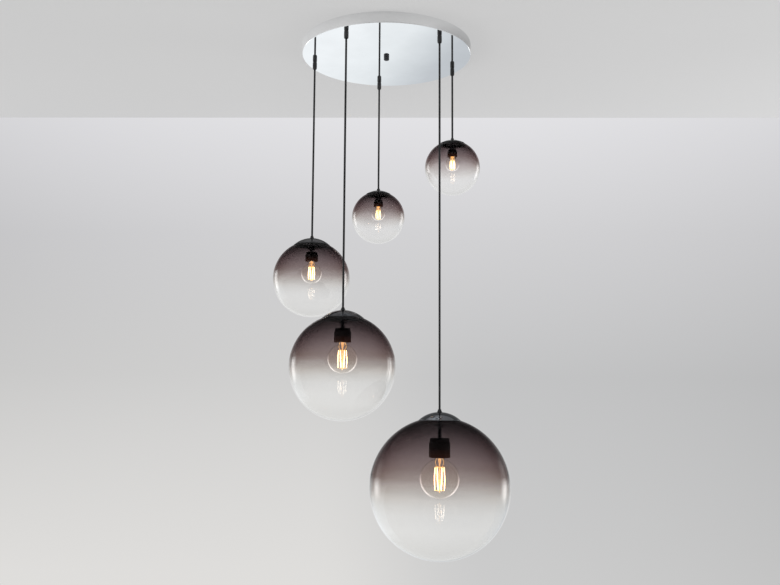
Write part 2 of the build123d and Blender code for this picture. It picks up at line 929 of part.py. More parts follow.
def bulb_outline(pendant, inset, top):
    """Half of the bulb's outline, closed along its axis, drawn inset inside the glass."""
    radius = pendant.bulb_diameter / 2 - inset
    neck = pendant.neck_radius - inset
    centre = pendant.bulb_centre
    shoulder = sphere_point(radius, centre, neck)
    ThreePointArc((0, centre - radius), outline_middle(radius, centre, neck), shoulder)
    Polyline(shoulder, (neck, top), (0, top), (0, centre - radius))


def bulb_glass(pendant):
    """A ball with a short neck, blown thin and open at the neck's end."""
    neck_top = pendant.holder_mouth + base_socket_depth - thread_clearance
    shoulder_fillet = min(bulb_neck_fillet, pendant.neck_radius / 2)
    with BuildPart() as glass:
        with BuildSketch(upright(pendant.x, pendant.y)) as outside:
            with BuildLine():
                bulb_outline(pendant, 0, neck_top)
            make_face()
            fillet(outside.vertices().sort_by(Axis.Y)[1:2], shoulder_fillet)
        revolve(axis=vertical_axis(pendant.x, pendant.y))
        with BuildSketch(upright(pendant.x, pendant.y)) as inside:
            with BuildLine():
                bulb_outline(pendant, bulb_wall, neck_top)
            make_face()
            fillet(inside.vertices().sort_by(Axis.Y)[1:2], shoulder_fillet)
        revolve(axis=vertical_axis(pendant.x, pendant.y), mode=Mode.SUBTRACT)
    return glass.part


def filament(pendant):
    """A cage of upright wires on spokes round a stem."""
    cage_foot = pendant.cage_foot
    cage_head = cage_foot + pendant.cage_length
    stem_top = pendant.holder_mouth + base_socket_depth - thread_clearance
    cage_radius = (pendant.cage_diameter - filament_wire) / 2
    strand_step = 360 / filament_count
    with BuildPart() as cage:
        with BuildSketch(Plane(origin=(pendant.x, pendant.y, stem_top))):
            Circle(stem_diameter / 2)
        extrude(amount=cage_foot - pendant.stem_tip - stem_top)
        fillet(cage.edges().group_by(Axis.Z)[0], stem_diameter / 4)
        for height in (cage_foot, cage_head):
            for spoke in range(filament_count):
                turn = radians(strand_step * (spoke + 1 / 2))
                outward = (cos(turn), sin(turn), 0)
                hub = Plane(origin=(pendant.x, pendant.y, height), z_dir=outward)
                with BuildSketch(hub.offset(stem_diameter / 4)):
                    Circle(spoke_wire / 2)
                extrude(amount=cage_radius - stem_diameter / 4)
        with BuildSketch(Plane(origin=(pendant.x, pendant.y, cage_foot - filament_wire / 2))):
            with PolarLocations(cage_radius, filament_count, start_angle=strand_step / 2):
                Circle(filament_wire / 2)
        extrude(amount=pendant.cage_length + filament_wire)
    return cage.part


piece_makers = {
    "grip_seal": grip_seal,
    "cord": cord,
    "cap": cap,
    "tube": tube,
    "spring_clip": spring_clip,
    "bubble": bubble,
    "lampholder": lampholder,
    "bulb_base": screw_base,
    "bulb_glass": bulb_glass,
    "filament": filament,
}
for pendant in pendants:
    for name, make in piece_makers.items():
        save(make(pendant), f"{name}_{pendant.number}")
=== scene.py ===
import logging
from collections.abc import Callable
from dataclasses import dataclass, field
from enum import Enum

import bmesh
import bpy
import numpy as np
from mathutils import Matrix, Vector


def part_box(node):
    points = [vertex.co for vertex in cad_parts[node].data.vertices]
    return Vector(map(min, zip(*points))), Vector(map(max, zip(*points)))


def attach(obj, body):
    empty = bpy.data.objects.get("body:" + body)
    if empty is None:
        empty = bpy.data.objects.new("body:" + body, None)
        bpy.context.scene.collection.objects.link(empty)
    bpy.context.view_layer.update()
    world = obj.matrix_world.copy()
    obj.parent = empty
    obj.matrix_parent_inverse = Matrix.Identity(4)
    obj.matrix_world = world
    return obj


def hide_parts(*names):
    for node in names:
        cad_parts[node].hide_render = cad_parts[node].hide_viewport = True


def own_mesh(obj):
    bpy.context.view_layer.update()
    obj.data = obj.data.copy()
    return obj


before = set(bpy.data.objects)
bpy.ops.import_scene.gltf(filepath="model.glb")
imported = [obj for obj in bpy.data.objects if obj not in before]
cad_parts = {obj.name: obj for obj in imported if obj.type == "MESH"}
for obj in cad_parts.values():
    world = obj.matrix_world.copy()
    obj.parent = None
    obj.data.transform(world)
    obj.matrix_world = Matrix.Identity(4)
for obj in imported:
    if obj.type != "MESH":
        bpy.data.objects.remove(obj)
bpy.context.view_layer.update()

log = logging.getLogger("chandelier")
MM = 0.001
FULL_TURN = 2 * np.pi
# Points nearer than this are merged, which closes the poles
WELD = 1e-7

# Sizes that the scene shares with the part, in metres
CANOPY_HEIGHT = 28 * MM
CORD_RADIUS = 2.6 * MM
GRIP_LENGTH = 20 * MM
PIVOT = -(CANOPY_HEIGHT + GRIP_LENGTH - 1 * MM)
CORD_TOP = PIVOT + CORD_RADIUS

# The pendants, from the highest and smallest to the lowest and largest
PENDANTS = (1, 2, 3, 4, 5)
# How far down the highlight painted on a small bulb's outline is moved, as a share of its radius
PAINTED_RIM_DROP = {1: 0.18, 2: 0.13}
# From the filament's lowest point up to its strands, and the strands' share of the height above that
CAGE_FOOT = {1: 2 * MM, 2: 2 * MM, 3: 4 * MM, 4: 5 * MM, 5: 6 * MM}
CAGE_SHARE = {1: 0.626, 2: 0.626, 3: 0.65, 4: 0.65, 5: 0.675}


def grey(level: float) -> tuple[float, float, float, float]:
    """A neutral colour."""
    return (level, level, level, 1.0)


class Slot(Enum):
    """The record's material slots, one given with each new piece."""

    MIRROR_CHROME = "mirror_chrome"
    DARK_CHROME = "dark_chrome"
    BLACK_PLASTIC = "black_plastic"
    BLACK_CORD = "black_cord"
    BLACK_RUBBER = "black_rubber"
    SMOKE_GLASS = "smoke_glass"
    CLEAR_GLASS = "clear_glass"
    GLOWING_FILAMENT = "glowing_filament"


# Surfaces
@dataclass
class Surface:
    """Points and faces of one surface, with an optional value per point.

    Args:
        points: An array of n by 3 places in metres.
        faces: An array of m by 4 point numbers; a corner named twice in a row makes a triangle.
        rise: One value per point, kept as the attribute "rise", or None.
    """

    points: np.ndarray
    faces: np.ndarray
    rise: np.ndarray | None = None

    @staticmethod
    def joined(parts: list["Surface"]) -> "Surface":
        """Puts several surfaces into one, without welding them.

        Args:
            parts: The surfaces; all of them have a rise, or none has.

        Returns:
            One surface with all their points and faces.
        """
        starts = np.cumsum([0] + [len(part.points) for part in parts[:-1]])
        faces = np.concatenate([part.faces + start for part, start in zip(parts, starts)])
        rise = None
        if parts[0].rise is not None:
            rise = np.concatenate([part.rise for part in parts])
        return Surface(np.concatenate([part.points for part in parts]), faces, rise)

    def moved(self, offset: np.ndarray) -> "Surface":
        """The same surface, shifted by offset."""
        return Surface(self.points + offset, self.faces, self.rise)

    def to_object(self, name: str, material: bpy.types.Material) -> bpy.types.Object:
        """Makes a smooth-shaded object with its faces outwards.

        Args:
            name: The piece's name.
            material: Its finish.

        Returns:
            The new object, linked into the scene at the origin.
        """
        mesh = bpy.data.meshes.new(name)
        mesh.from_pydata(self.points, [], [list(dict.fromkeys(face)) for face in self.faces.tolist()])
        if self.rise is not None:
            attribute = mesh.attributes.new("rise", "FLOAT", "POINT")
            attribute.data.foreach_set("value", self.rise.astype(np.float32))
        work = bmesh.new()
        work.from_mesh(mesh)
        bmesh.ops.remove_doubles(work, verts=work.verts, dist=WELD)
        bmesh.ops.recalc_face_normals(work, faces=work.faces)
        work.to_mesh(mesh)
        work.free()
        mesh.shade_smooth()
        mesh.materials.append(material)
        piece = bpy.data.objects.new(name, mesh)
        bpy.context.scene.collection.objects.link(piece)
        return piece


def grid_faces(rows: int, columns: int, wrap_rows: bool, wrap_columns: bool) -> np.ndarray:
    """Quads of a grid of points: each joins a point, the next in its row and the two in the next row.

    Args:
        rows: Points along the profile or the path.
        columns: Points round it.
        wrap_rows: True if the last row joins the first.
        wrap_columns: True if the last column joins the first.

    Returns:
        An array of m by 4 point numbers.
    """
    row = np.arange(rows if wrap_rows else rows - 1)[:, None]
    column = np.arange(columns if wrap_columns else columns - 1)[None, :]
    next_row = (row + 1) % rows
    next_column = (column + 1) % columns
    corners = (row * columns + column, row * columns + next_column,
               next_row * columns + next_column, next_row * columns + column)
    return np.stack([np.broadcast_to(c, (len(row), column.shape[1])) for c in corners], -1).reshape(-1, 4)


def turned(profile: np.ndarray, centre: np.ndarray, segments: int, closed: bool = False,
           rise: np.ndarray | None = None) -> Surface:
    """Turns a profile round a vertical axis.

    The point at profile place (r, z) and angle a is (cx + r cos a, cy + r sin a, z).

    Args:
        profile: n by 2 radii and heights.
        centre: The axis's x and y.
        segments: Points round the axis.
        closed: True if the profile's last point joins its first.
        rise: One value per profile point for the "rise" attribute, or None.

    Returns:
        The turned surface.
    """
    angle = np.arange(segments) * FULL_TURN / segments
    radius = profile[:, 0][:, None]
    points = np.stack([centre[0] + radius * np.cos(angle), centre[1] + radius * np.sin(angle),
                       np.broadcast_to(profile[:, 1][:, None], (len(profile), segments))], -1)
    values = None if rise is None else np.repeat(rise, segments)
    return Surface(points.reshape(-1, 3), grid_faces(len(profile), segments, closed, True), values)


def tube(path: np.ndarray, radius: np.ndarray | float, sides: int, reference: np.ndarray) -> Surface:
    """Carries a circle along a path, square to it, and closes both ends to a point.

    The ring at path point p has points p + r (u cos a + v sin a), where u is the tangent crossed with the
    reference direction and v is the tangent crossed with u.

    Args:
        path: n by 3 places.
        radius: One radius, or one per path point.
        sides: Points round the circle.
        reference: A direction that the path never runs along.

    Returns:
        The tube's surface.
    """
    radius = np.broadcast_to(np.asarray(radius, float), (len(path),))
    tangent = np.gradient(path, axis=0)
    tangent /= np.linalg.norm(tangent, axis=1)[:, None]
    u = np.cross(tangent, reference)
    u /= np.linalg.norm(u, axis=1)[:, None]
    v = np.cross(tangent, u)
    path = np.concatenate([path[:1], path, path[-1:]])
    radius = np.concatenate([[0], radius, [0]])
    u = np.concatenate([u[:1], u, u[-1:]])[:, None]
    v = np.concatenate([v[:1], v, v[-1:]])[:, None]
    angle = (np.arange(sides) * FULL_TURN / sides)[None, :, None]
    rings = path[:, None] + radius[:, None, None] * (u * np.cos(angle) + v * np.sin(angle))
    return Surface(rings.reshape(-1, 3), grid_faces(len(path), sides, False, True))


def spline_points(route: list[tuple[float, float, float]], steps: int = 24) -> np.ndarray:
    """Points along a route's NURBS spline.

    Args:
        route: The spline's control points.
        steps: Points for each of the spline's stretches.

    Returns:
        An array of n by 3 places from the route's first point to its last.
    """
    curve = bpy.data.curves.new("route", "CURVE")
    curve.dimensions = "3D"
    spline = curve.splines.new("NURBS")
    spline.points.add(len(route) - 1)
    for point, place in zip(spline.points, route):
        point.co = (*place, 1.0)
    spline.order_u = 3
    spline.use_endpoint_u = True
    spline.resolution_u = steps
    holder = bpy.data.objects.new("route", curve)
    bpy.context.scene.collection.objects.link(holder)
    bpy.context.view_layer.update()
    line = bpy.data.meshes.new_from_object(holder)
    places = np.zeros(len(line.vertices) * 3)
    line.vertices.foreach_get("co", places)
    bpy.data.objects.remove(holder)
    bpy.data.curves.remove(curve)
    bpy.data.meshes.remove(line)
    return places.reshape(-1, 3)


def arc(centre: tuple[float, float], radius: float, start: float, end: float, count: int) -> np.ndarray:
    """Points of a circle's stretch in a profile: centre + radius (cos t, sin t) for t from start to end."""
    t = np.linspace(start, end, count)
    return np.stack([centre[0] + radius * np.cos(t), centre[1] + radius * np.sin(t)], -1)


def rounded(corners: list[tuple[float, float]], radius: float, count: int = 5) -> np.ndarray:
    """A closed profile with its corners rounded.

    Each corner c becomes a quadratic curve, (1-t)^2 a + 2 t (1-t) c + t^2 b, from a, which lies radius
    away towards the corner before it, to b, as far towards the one after it. Beside a short side the
    radius shrinks, so that two curves never meet.

    Args:
        corners: The profile's corners, in order.
        radius: How far from each corner its curve starts.
        count: Points on each curve.

    Returns:
        The profile's points.
    """
    corner = np.array(corners, float)
    before = np.roll(corner, 1, axis=0) - corner
    after = np.roll(corner, -1, axis=0) - corner
    length_before = np.linalg.norm(before, axis=1)
    length_after = np.linalg.norm(after, axis=1)
    half_side = 0.45 * np.minimum(length_before, length_after)
    reach = np.minimum(radius, half_side)
    start = corner + before / length_before[:, None] * reach[:, None]
    end = corner + after / length_after[:, None] * reach[:, None]
    t = np.linspace(0, 1, count)[None, :, None]
    curve = (1 - t) ** 2 * start[:, None] + 2 * t * (1 - t) * corner[:, None] + t**2 * end[:, None]
    return curve.reshape(-1, 2)


# Shader tools
class Nodes:
    """A short way to add and join nodes in one node tree."""

    def __init__(self, tree: bpy.types.NodeTree) -> None:
        """Keeps the tree."""
        self.tree = tree

    def add(self, kind: str, **settings: object) -> bpy.types.Node:
        """Adds a node and sets its properties.

        Args:
            kind: The node's type.
            **settings: Property names and values.

        Returns:
            The new node.
        """
        node = self.tree.nodes.new(kind)
        for key, value in settings.items():
            setattr(node, key, value)
        return node

    def put(self, target: bpy.types.NodeSocket, value: object) -> None:
        """Joins a socket to the target, or sets the target's own value.

        Args:
            target: The input that takes the value.
            value: A socket, or a plain number, colour or vector.
        """
        if isinstance(value, bpy.types.NodeSocket):
            self.tree.links.new(value, target)
        else:
            target.default_value = value

    def math(self, operation: str, first: object, second: object = 0.0,
             third: object = 0.0) -> bpy.types.NodeSocket:
        """A Math node's result.

        Args:
            operation: The node's operation.
            first: A socket or a number.
            second: The next one, where the operation takes it.
            third: The last one, where the operation takes it.

        Returns:
            The node's output.
        """
        node = self.add("ShaderNodeMath", operation=operation)
        for place, value in enumerate((first, second, third)):
            self.put(node.inputs[place], value)
        return node.outputs[0]

    def spread(self, value: object, low: float, high: float, to_low: float, to_high: float,
               smooth: bool = False) -> bpy.types.NodeSocket:
        """Maps a value from one range to another, held at the ends.

        Args:
            value: The socket that is mapped.
            low: Its value that gives to_low.
            high: Its value that gives to_high.
            to_low: The result's first end.
            to_high: The result's other end.
            smooth: True if the change is gentle at both ends.

        Returns:
            The mapped value.
        """
        node = self.add("ShaderNodeMapRange", clamp=True)
        if smooth:
            node.interpolation_type = "SMOOTHSTEP"
        for place, item in enumerate((value, low, high, to_low, to_high)):
            self.put(node.inputs[place], item)
        return node.outputs[0]

    def blend(self, share: object, first: object, second: object) -> bpy.types.NodeSocket:
        """A mix of two colours.

        Args:
            share: How much of the second colour shows, from 0 to 1.
            first: The first colour.
            second: The second colour.

        Returns:
            The mixed colour.
        """
        node = self.add("ShaderNodeMix", data_type="RGBA")
        self.put(node.inputs[0], share)
        colour_sockets = (node.inputs[6], node.inputs[7])
        for socket, colour in zip(colour_sockets, (first, second)):
            self.put(socket, colour)
        return node.outputs[2]

    def noise(self, scale: float, detail: float = 2.0, vector: object = None) -> bpy.types.NodeSocket:
        """Noise on Object coordinates, or on the given vector.

        Args:
            scale: Its scale.
            detail: How many finer layers it has.
            vector: Other coordinates, or None.

        Returns:
            The noise, from 0 to 1.
        """
        node = self.add("ShaderNodeTexNoise")
        node.inputs["Scale"].default_value = scale
        node.inputs["Detail"].default_value = detail
        if vector is None:
            vector = self.add("ShaderNodeTexCoord").outputs["Object"]
        self.put(node.inputs["Vector"], vector)
        return node.outputs[0]

    def ramp(self, value: object, stops: list[tuple[float, tuple[float, ...]]]) -> bpy.types.NodeSocket:
        """A colour ramp.

        Args:
            value: The socket that picks the place on the ramp, from 0 to 1.
            stops: The ramp's places and colours, in order.

        Returns:
            The colour at that place.
        """
        node = self.add("ShaderNodeValToRGB")
        elements = node.color_ramp.elements
        while len(elements) < len(stops):
            elements.new(0.5)
        for element, (place, colour) in zip(elements, stops):
            element.position = place
            element.color = colour
        self.put(node.inputs[0], value)
        return node.outputs[0]

    def grey_ramp(self, value: object, stops: tuple[tuple[float, float], ...]) -> bpy.types.NodeSocket:
        """A ramp of greys, from its places and levels."""
        return self.ramp(value, [(place, grey(level)) for place, level in stops])

    def effect(self, group: bpy.types.NodeTree, **inputs: object) -> bpy.types.Node:
        """Places a shared effect.

        Args:
            group: The effect.
            **inputs: Its inputs' names, with underscores for spaces, and their values.

        Returns:
            The group's node.
        """
        node = self.add("ShaderNodeGroup", node_tree=group)
        for key, value in inputs.items():
            self.put(node.inputs[key.replace("_", " ")], value)
        return node


def new_group(name: str, inputs: dict[str, float],
              outputs: tuple[str, ...]) -> tuple[Nodes, bpy.types.Node, bpy.types.Node]:
    """An empty node group with named number sockets.

    Args:
        name: The group's name.
        inputs: Input names and their usual values.
        outputs: Output names.

    Returns:
        Its Nodes helper, its input node and its output node.
    """
    tree = bpy.data.node_groups.new(name, "ShaderNodeTree")
    for key, value in inputs.items():
        socket = tree.interface.new_socket(key, in_out="INPUT", socket_type="NodeSocketFloat")
        socket.default_value = value
    for key in outputs:
        tree.interface.new_socket(key, in_out="OUTPUT", socket_type="NodeSocketFloat")
    nodes = Nodes(tree)
    return nodes, nodes.add("NodeGroupInput"), nodes.add("NodeGroupOutput")


# Finer layers in the unevenness of blown glass
RIPPLE_DETAIL = 1.0


def make_handling_marks() -> bpy.types.NodeTree:
    """Faint smears and hairline scratches: a change of roughness and a height.

    The hairlines are the smears' noise, stretched, turned and made several times finer.

    Returns:
        The effect.
    """
    stretch, turn, finer = (1.0, 14.0, 3.0), (0.4, 0.2, 0.7), 6.0
    nodes, given, result = new_group(
        "Handling marks", {"Scale": 20.0, "Base Roughness": 0.1, "Smear": 0.05}, ("Roughness", "Height"))
    place = nodes.add("ShaderNodeTexCoord").outputs["Object"]
    smear = nodes.add("ShaderNodeTexNoise")
    nodes.put(smear.inputs["Vector"], place)
    nodes.put(smear.inputs["Scale"], given.outputs["Scale"])
    smear.inputs["Detail"].default_value = 5.0
    stretched = nodes.add("ShaderNodeMapping")
    stretched.inputs["Scale"].default_value = stretch
    stretched.inputs["Rotation"].default_value = turn
    nodes.put(stretched.inputs["Vector"], place)
    hair = nodes.add("ShaderNodeTexNoise")
    nodes.put(hair.inputs["Vector"], stretched.outputs[0])
    nodes.put(hair.inputs["Scale"], nodes.math("MULTIPLY", given.outputs["Scale"], finer))
    patch = nodes.spread(smear.outputs[0], 0.45, 0.75, 0.0, 1.0, smooth=True)
    roughness = nodes.math("MULTIPLY_ADD", patch, given.outputs["Smear"], given.outputs["Base Roughness"])
    nodes.put(result.inputs["Roughness"], roughness)
    nodes.put(result.inputs["Height"], hair.outputs[0])
    return nodes.tree


def make_moulded_grain() -> bpy.types.NodeTree:
    """Fine grain of moulded plastic or rubber: a height, and a mask of paler dust in broad patches.

    Returns:
        The effect.
    """
    patch_scale, patch_detail = 45.0, 4.0
    nodes, given, result = new_group("Moulded grain", {"Scale": 900.0, "Dust": 0.1}, ("Height", "Dust"))
    place = nodes.add("ShaderNodeTexCoord").outputs["Object"]
    grain = nodes.add("ShaderNodeTexVoronoi")
    nodes.put(grain.inputs["Vector"], place)
    nodes.put(grain.inputs["Scale"], given.outputs["Scale"])
    patches = nodes.noise(patch_scale, patch_detail, place)
    nodes.put(result.inputs["Height"], grain.outputs["Distance"])
    dust = nodes.spread(patches, 0.4, 0.8, 0.0, 1.0, smooth=True)
    nodes.put(result.inputs["Dust"], nodes.math("MULTIPLY", dust, given.outputs["Dust"]))
    return nodes.tree


def make_blown_ripple() -> bpy.types.NodeTree:
    """The slow unevenness of blown glass as a height.

    Returns:
        The effect.
    """
    nodes, given, result = new_group("Blown ripple", {"Scale": 9.0}, ("Height",))
    ripple = nodes.add("ShaderNodeTexNoise")
    nodes.put(ripple.inputs["Vector"], nodes.add("ShaderNodeTexCoord").outputs["Object"])
    nodes.put(ripple.inputs["Scale"], given.outputs["Scale"])
    ripple.inputs["Detail"].default_value = RIPPLE_DETAIL
    nodes.put(result.inputs["Height"], ripple.outputs[0])
    return nodes.tree


@dataclass(frozen=True)
class Effects:
    """The shared shader effects, each built once.

    Args:
        handling_marks: Smears and hairlines on metal.
        moulded_grain: Grain and dust on plastic and rubber.
        blown_ripple: Unevenness of glass.
    """

    handling_marks: bpy.types.NodeTree = field(default_factory=make_handling_marks)
    moulded_grain: bpy.types.NodeTree = field(default_factory=make_moulded_grain)
    blown_ripple: bpy.types.NodeTree = field(default_factory=make_blown_ripple)


def new_material(name: str) -> tuple[bpy.types.Material, Nodes, bpy.types.Node]:
    """A new material.

    Args:
        name: Its name.

    Returns:
        The material, its Nodes helper and its Principled shader.
    """
    material = bpy.data.materials.new(name)
    material.use_nodes = True
    shader = material.node_tree.nodes["Principled BSDF"]
    return material, Nodes(material.node_tree), shader


def give_bump(nodes: Nodes, target: bpy.types.NodeSocket, height: bpy.types.NodeSocket, distance: float,
              normal: bpy.types.NodeSocket | None = None) -> None:
    """Feeds a height into a shader's normal through a Bump node.

    Args:
        nodes: The material's Nodes helper.
        target: The shader's Normal or Coat Normal.
        height: The height, from 0 to 1.
        distance: How high a height of 1 stands, in metres.
        normal: The normal that the bumps stand on, or None for the surface's own.
    """
    bump = nodes.add("ShaderNodeBump")
    bump.inputs["Distance"].default_value = distance
    nodes.put(bump.inputs["Height"], height)
    if normal is not None:
        nodes.put(bump.inputs["Normal"], normal)
    nodes.put(target, bump.outputs[0])


# Finishes
@dataclass(frozen=True)
class PolishedMetal:
    """Plated or turned metal with faint smears.

    Args:
        name: The finish's name.
        colour: The metal's colour.
        roughness: Its least roughness.
        smear: How much rougher smears are.
        bump: Height of the hairlines in metres.
        marks_scale: Scale of the smears.
        cloud_scale: Scale of the clouds of darker tone.
        cloud: The darker tone's share of the colour.
    """

    name: str
    colour: tuple[float, float, float]
    roughness: float
    smear: float
    bump: float = 2e-6
    marks_scale: float = 26.0
    cloud_scale: float = 12.0
    cloud: float = 0.94

    def build(self, effects: Effects) -> bpy.types.Material:
        """Makes the material.

        Args:
            effects: The shared shader effects.

        Returns:
            The material.
        """
        material, nodes, shader = new_material(self.name)
        marks = nodes.effect(effects.handling_marks, Scale=self.marks_scale, Base_Roughness=self.roughness,
                             Smear=self.smear)
        shader.inputs["Metallic"].default_value = 1.0
        tone = nodes.spread(nodes.noise(self.cloud_scale, 3.0), 0.3, 0.7, 0.0, 1.0)
        darker = tuple(self.cloud * part for part in self.colour)
        nodes.put(shader.inputs["Base Color"], nodes.blend(tone, (*darker, 1.0), (*self.colour, 1.0)))
        nodes.put(shader.inputs["Roughness"], marks.outputs["Roughness"])
        if self.bump:
            give_bump(nodes, shader.inputs["Normal"], marks.outputs["Height"], self.bump)
        return material


@dataclass(frozen=True)
class MouldedPolymer:
    """Plastic, rubber or cord sheath with a fine grain, a little dust and, where asked, a red lamp glow
    painted on its foot.

    Args:
        name: The finish's name.
        colour: The body colour.
        roughness: Its roughness.
        grain: Cells of grain per metre.
        relief: Height of the grain in metres.
        dust: How much paler dusty patches are.
        dust_tone: The dust's own paleness.
        dust_roughness: How much rougher it makes the surface.
        painted_lamp_glow: Strength of a red glow painted on its foot for the light of the lamp inside, by the
            attribute "rise" from 0 up to 0.5.
        lamp_red: That painted glow's colour.
    """

    name: str
    colour: tuple[float, float, float]
    roughness: float
    grain: float = 1400.0
    relief: float = 2e-5
    dust: float = 0.05
    dust_tone: float = 0.6
    dust_roughness: float = 0.8
    painted_lamp_glow: float = 0.0
    lamp_red: tuple[float, float, float] = (1.0, 0.28, 0.12)

    def build(self, effects: Effects) -> bpy.types.Material:
        """Makes the material.

        Args:
            effects: The shared shader effects.

        Returns:
            The material.
        """
        material, nodes, shader = new_material(self.name)
        grain = nodes.effect(effects.moulded_grain, Scale=self.grain, Dust=self.dust)
        pale = tuple(self.dust_tone + (1 - self.dust_tone) * part for part in self.colour)
        dusty = nodes.blend(grain.outputs["Dust"], (*self.colour, 1.0), (*pale, 1.0))
        nodes.put(shader.inputs["Base Color"], dusty)
        rougher = nodes.math("MULTIPLY_ADD", grain.outputs["Dust"], self.dust_roughness, self.roughness)
        nodes.put(shader.inputs["Roughness"], rougher)
        give_bump(nodes, shader.inputs["Normal"], grain.outputs["Height"], self.relief)
        # Painted light: a red glow on the foot, fading upwards, stands in for the light of the lamp inside
        if self.painted_lamp_glow:
            rise = nodes.add("ShaderNodeAttribute", attribute_name="rise").outputs["Fac"]
            lit = nodes.spread(rise, 0.0, 0.5, self.painted_lamp_glow, 0.0)
            nodes.put(shader.inputs["Emission Color"], nodes.blend(lit, grey(0.0), (*self.lamp_red, 1.0)))
            shader.inputs["Emission Strength"].default_value = 1.0
            material.cycles.emission_sampling = "NONE"
        return material


@dataclass(frozen=True)
class OmbreGlass:
    """Blown glass whose smoke thins from the neck down and is gone just below the widest line.

    The attribute "rise" runs from -1 at the bubble's foot to 1 at its top, and the level that the gloss and
    the painted glow go by from 0 to 1. The smoke is a thin film, so a slanting look goes through more of it:
    the tint is raised to the power 1 + edge times the slant, which is the square of Layer Weight's Facing.
    From a little over the foot to a little over the middle the outer wall is glossier, which shows the
    windows and the lit filament there. Over the lower half the wall glows with a pale painted light, which
    stands in for the light that its milky film scatters and is stronger along the outline.

    Args:
        name: The finish's name.
        smoke: Stops of (rise, tint of one wall).
        gloss: Stops of (level, weight of the glossy coat).
        painted_glow_band: Stops of (level, share of the pale painted glow).
        painted_milk_glow: Strength of the painted glow, which stands in for light scattered by the milky
            film.
        outline_glow_gain: How much stronger the painted glow is along the outline.
        edge: How much denser the smoke looks along the outline.
        sag: How far the normal of the wall's shine leans down, as on glass that sagged while it cooled. It
            moves what the wall mirrors and bends the view through the wall very little.
        index: The wall's index of refraction.
        gloss_index: The glossy coat's index of refraction.
        ripple_scale: Scale of the wall's unevenness.
        ripple_height: Height of that unevenness in metres.
    """

    name: str = "Smoke to clear glass"
    smoke: tuple[tuple[float, tuple[float, float, float]], ...] = (
        (-0.30, (0.87, 0.87, 0.865)),
        (-0.16, (0.88, 0.87, 0.855)),
        (-0.06, (0.86, 0.83, 0.805)),
        (0.06, (0.755, 0.71, 0.685)),
        (0.20, (0.63, 0.56, 0.545)),
        (0.40, (0.545, 0.48, 0.48)),
        (0.62, (0.43, 0.375, 0.38)),
        (0.85, (0.32, 0.29, 0.295)),
    )
    gloss: tuple[tuple[float, float], ...] = ((0.16, 0.0), (0.24, 1.0), (0.54, 1.0), (0.60, 0.0))
    painted_glow_band: tuple[tuple[float, float], ...] = ((0.0, 0.75), (0.25, 1.0), (0.36, 0.8), (0.51, 0.0))
    painted_milk_glow: float = 0.075
    outline_glow_gain: float = 1.2
    edge: float = 2.6
    sag: float = 0.14
    index: float = 1.09
    gloss_index: float = 1.6
    ripple_scale: float = 7.0
    ripple_height: float = 1.5e-4

    def build(self, effects: Effects) -> bpy.types.Material:
        """Makes the material.

        Args:
            effects: The shared shader effects.

        Returns:
            The material.
        """
        material, nodes, shader = new_material(self.name)
        rise = nodes.add("ShaderNodeAttribute", attribute_name="rise").outputs["Fac"]
        level = nodes.spread(rise, -1.0, 1.0, 0.0, 1.0)
        tint = nodes.ramp(level, [((height + 1) / 2, (*colour, 1.0)) for height, colour in self.smoke])
        facing = nodes.add("ShaderNodeLayerWeight").outputs["Facing"]
        film = nodes.add("ShaderNodeGamma")
        nodes.put(film.inputs["Color"], tint)
        slant = nodes.math("MULTIPLY", facing, facing)
        nodes.put(film.inputs["Gamma"], nodes.math("MULTIPLY_ADD", slant, self.edge, 1.0))
        nodes.put(shader.inputs["Base Color"], film.outputs[0])
        shader.inputs["Roughness"].default_value = 0.0
        shader.inputs["Transmission Weight"].default_value = 1.0
        shader.inputs["IOR"].default_value = self.index
        band = nodes.grey_ramp(level, self.gloss)
        outer = nodes.math("SUBTRACT", 1.0, nodes.add("ShaderNodeNewGeometry").outputs["Backfacing"])
        nodes.put(shader.inputs["Coat Weight"], nodes.math("MULTIPLY", band, outer))
        shader.inputs["Coat IOR"].default_value = self.gloss_index
        shader.inputs["Coat Roughness"].default_value = 0.0
        # Painted light: a pale glow on the lower wall, stronger along the outline, in place of the light that
        # the milky film scatters
        outline_gain = nodes.math("MULTIPLY_ADD", slant, self.outline_glow_gain, 1.0)
        painted_haze = nodes.math("MULTIPLY", nodes.grey_ramp(level, self.painted_glow_band),
                          nodes.math("MULTIPLY", outline_gain, self.painted_milk_glow))
        nodes.put(shader.inputs["Emission Color"], nodes.blend(painted_haze, grey(0.0), (1.0, 1.0, 0.99, 1.0)))
        shader.inputs["Emission Strength"].default_value = 1.0
        lean = nodes.add("ShaderNodeVectorMath", operation="SUBTRACT")
        nodes.put(lean.inputs[0], nodes.add("ShaderNodeNewGeometry").outputs["Normal"])
        nodes.put(lean.inputs[1], (0.0, 0.0, self.sag))
        sagged = nodes.add("ShaderNodeVectorMath", operation="NORMALIZE")
        nodes.put(sagged.inputs[0], lean.outputs[0])
        # The shared effect feeds Normal alone, so the coat takes the same noise from a node of its own
        ripple = nodes.effect(effects.blown_ripple, Scale=self.ripple_scale).outputs["Height"]
        coat_ripple = nodes.noise(self.ripple_scale, RIPPLE_DETAIL)
        for target, height in (("Normal", ripple), ("Coat Normal", coat_ripple)):
            give_bump(nodes, shader.inputs[target], height, self.ripple_height, sagged.outputs[0])
        material.cycles.emission_sampling = "NONE"
        return material


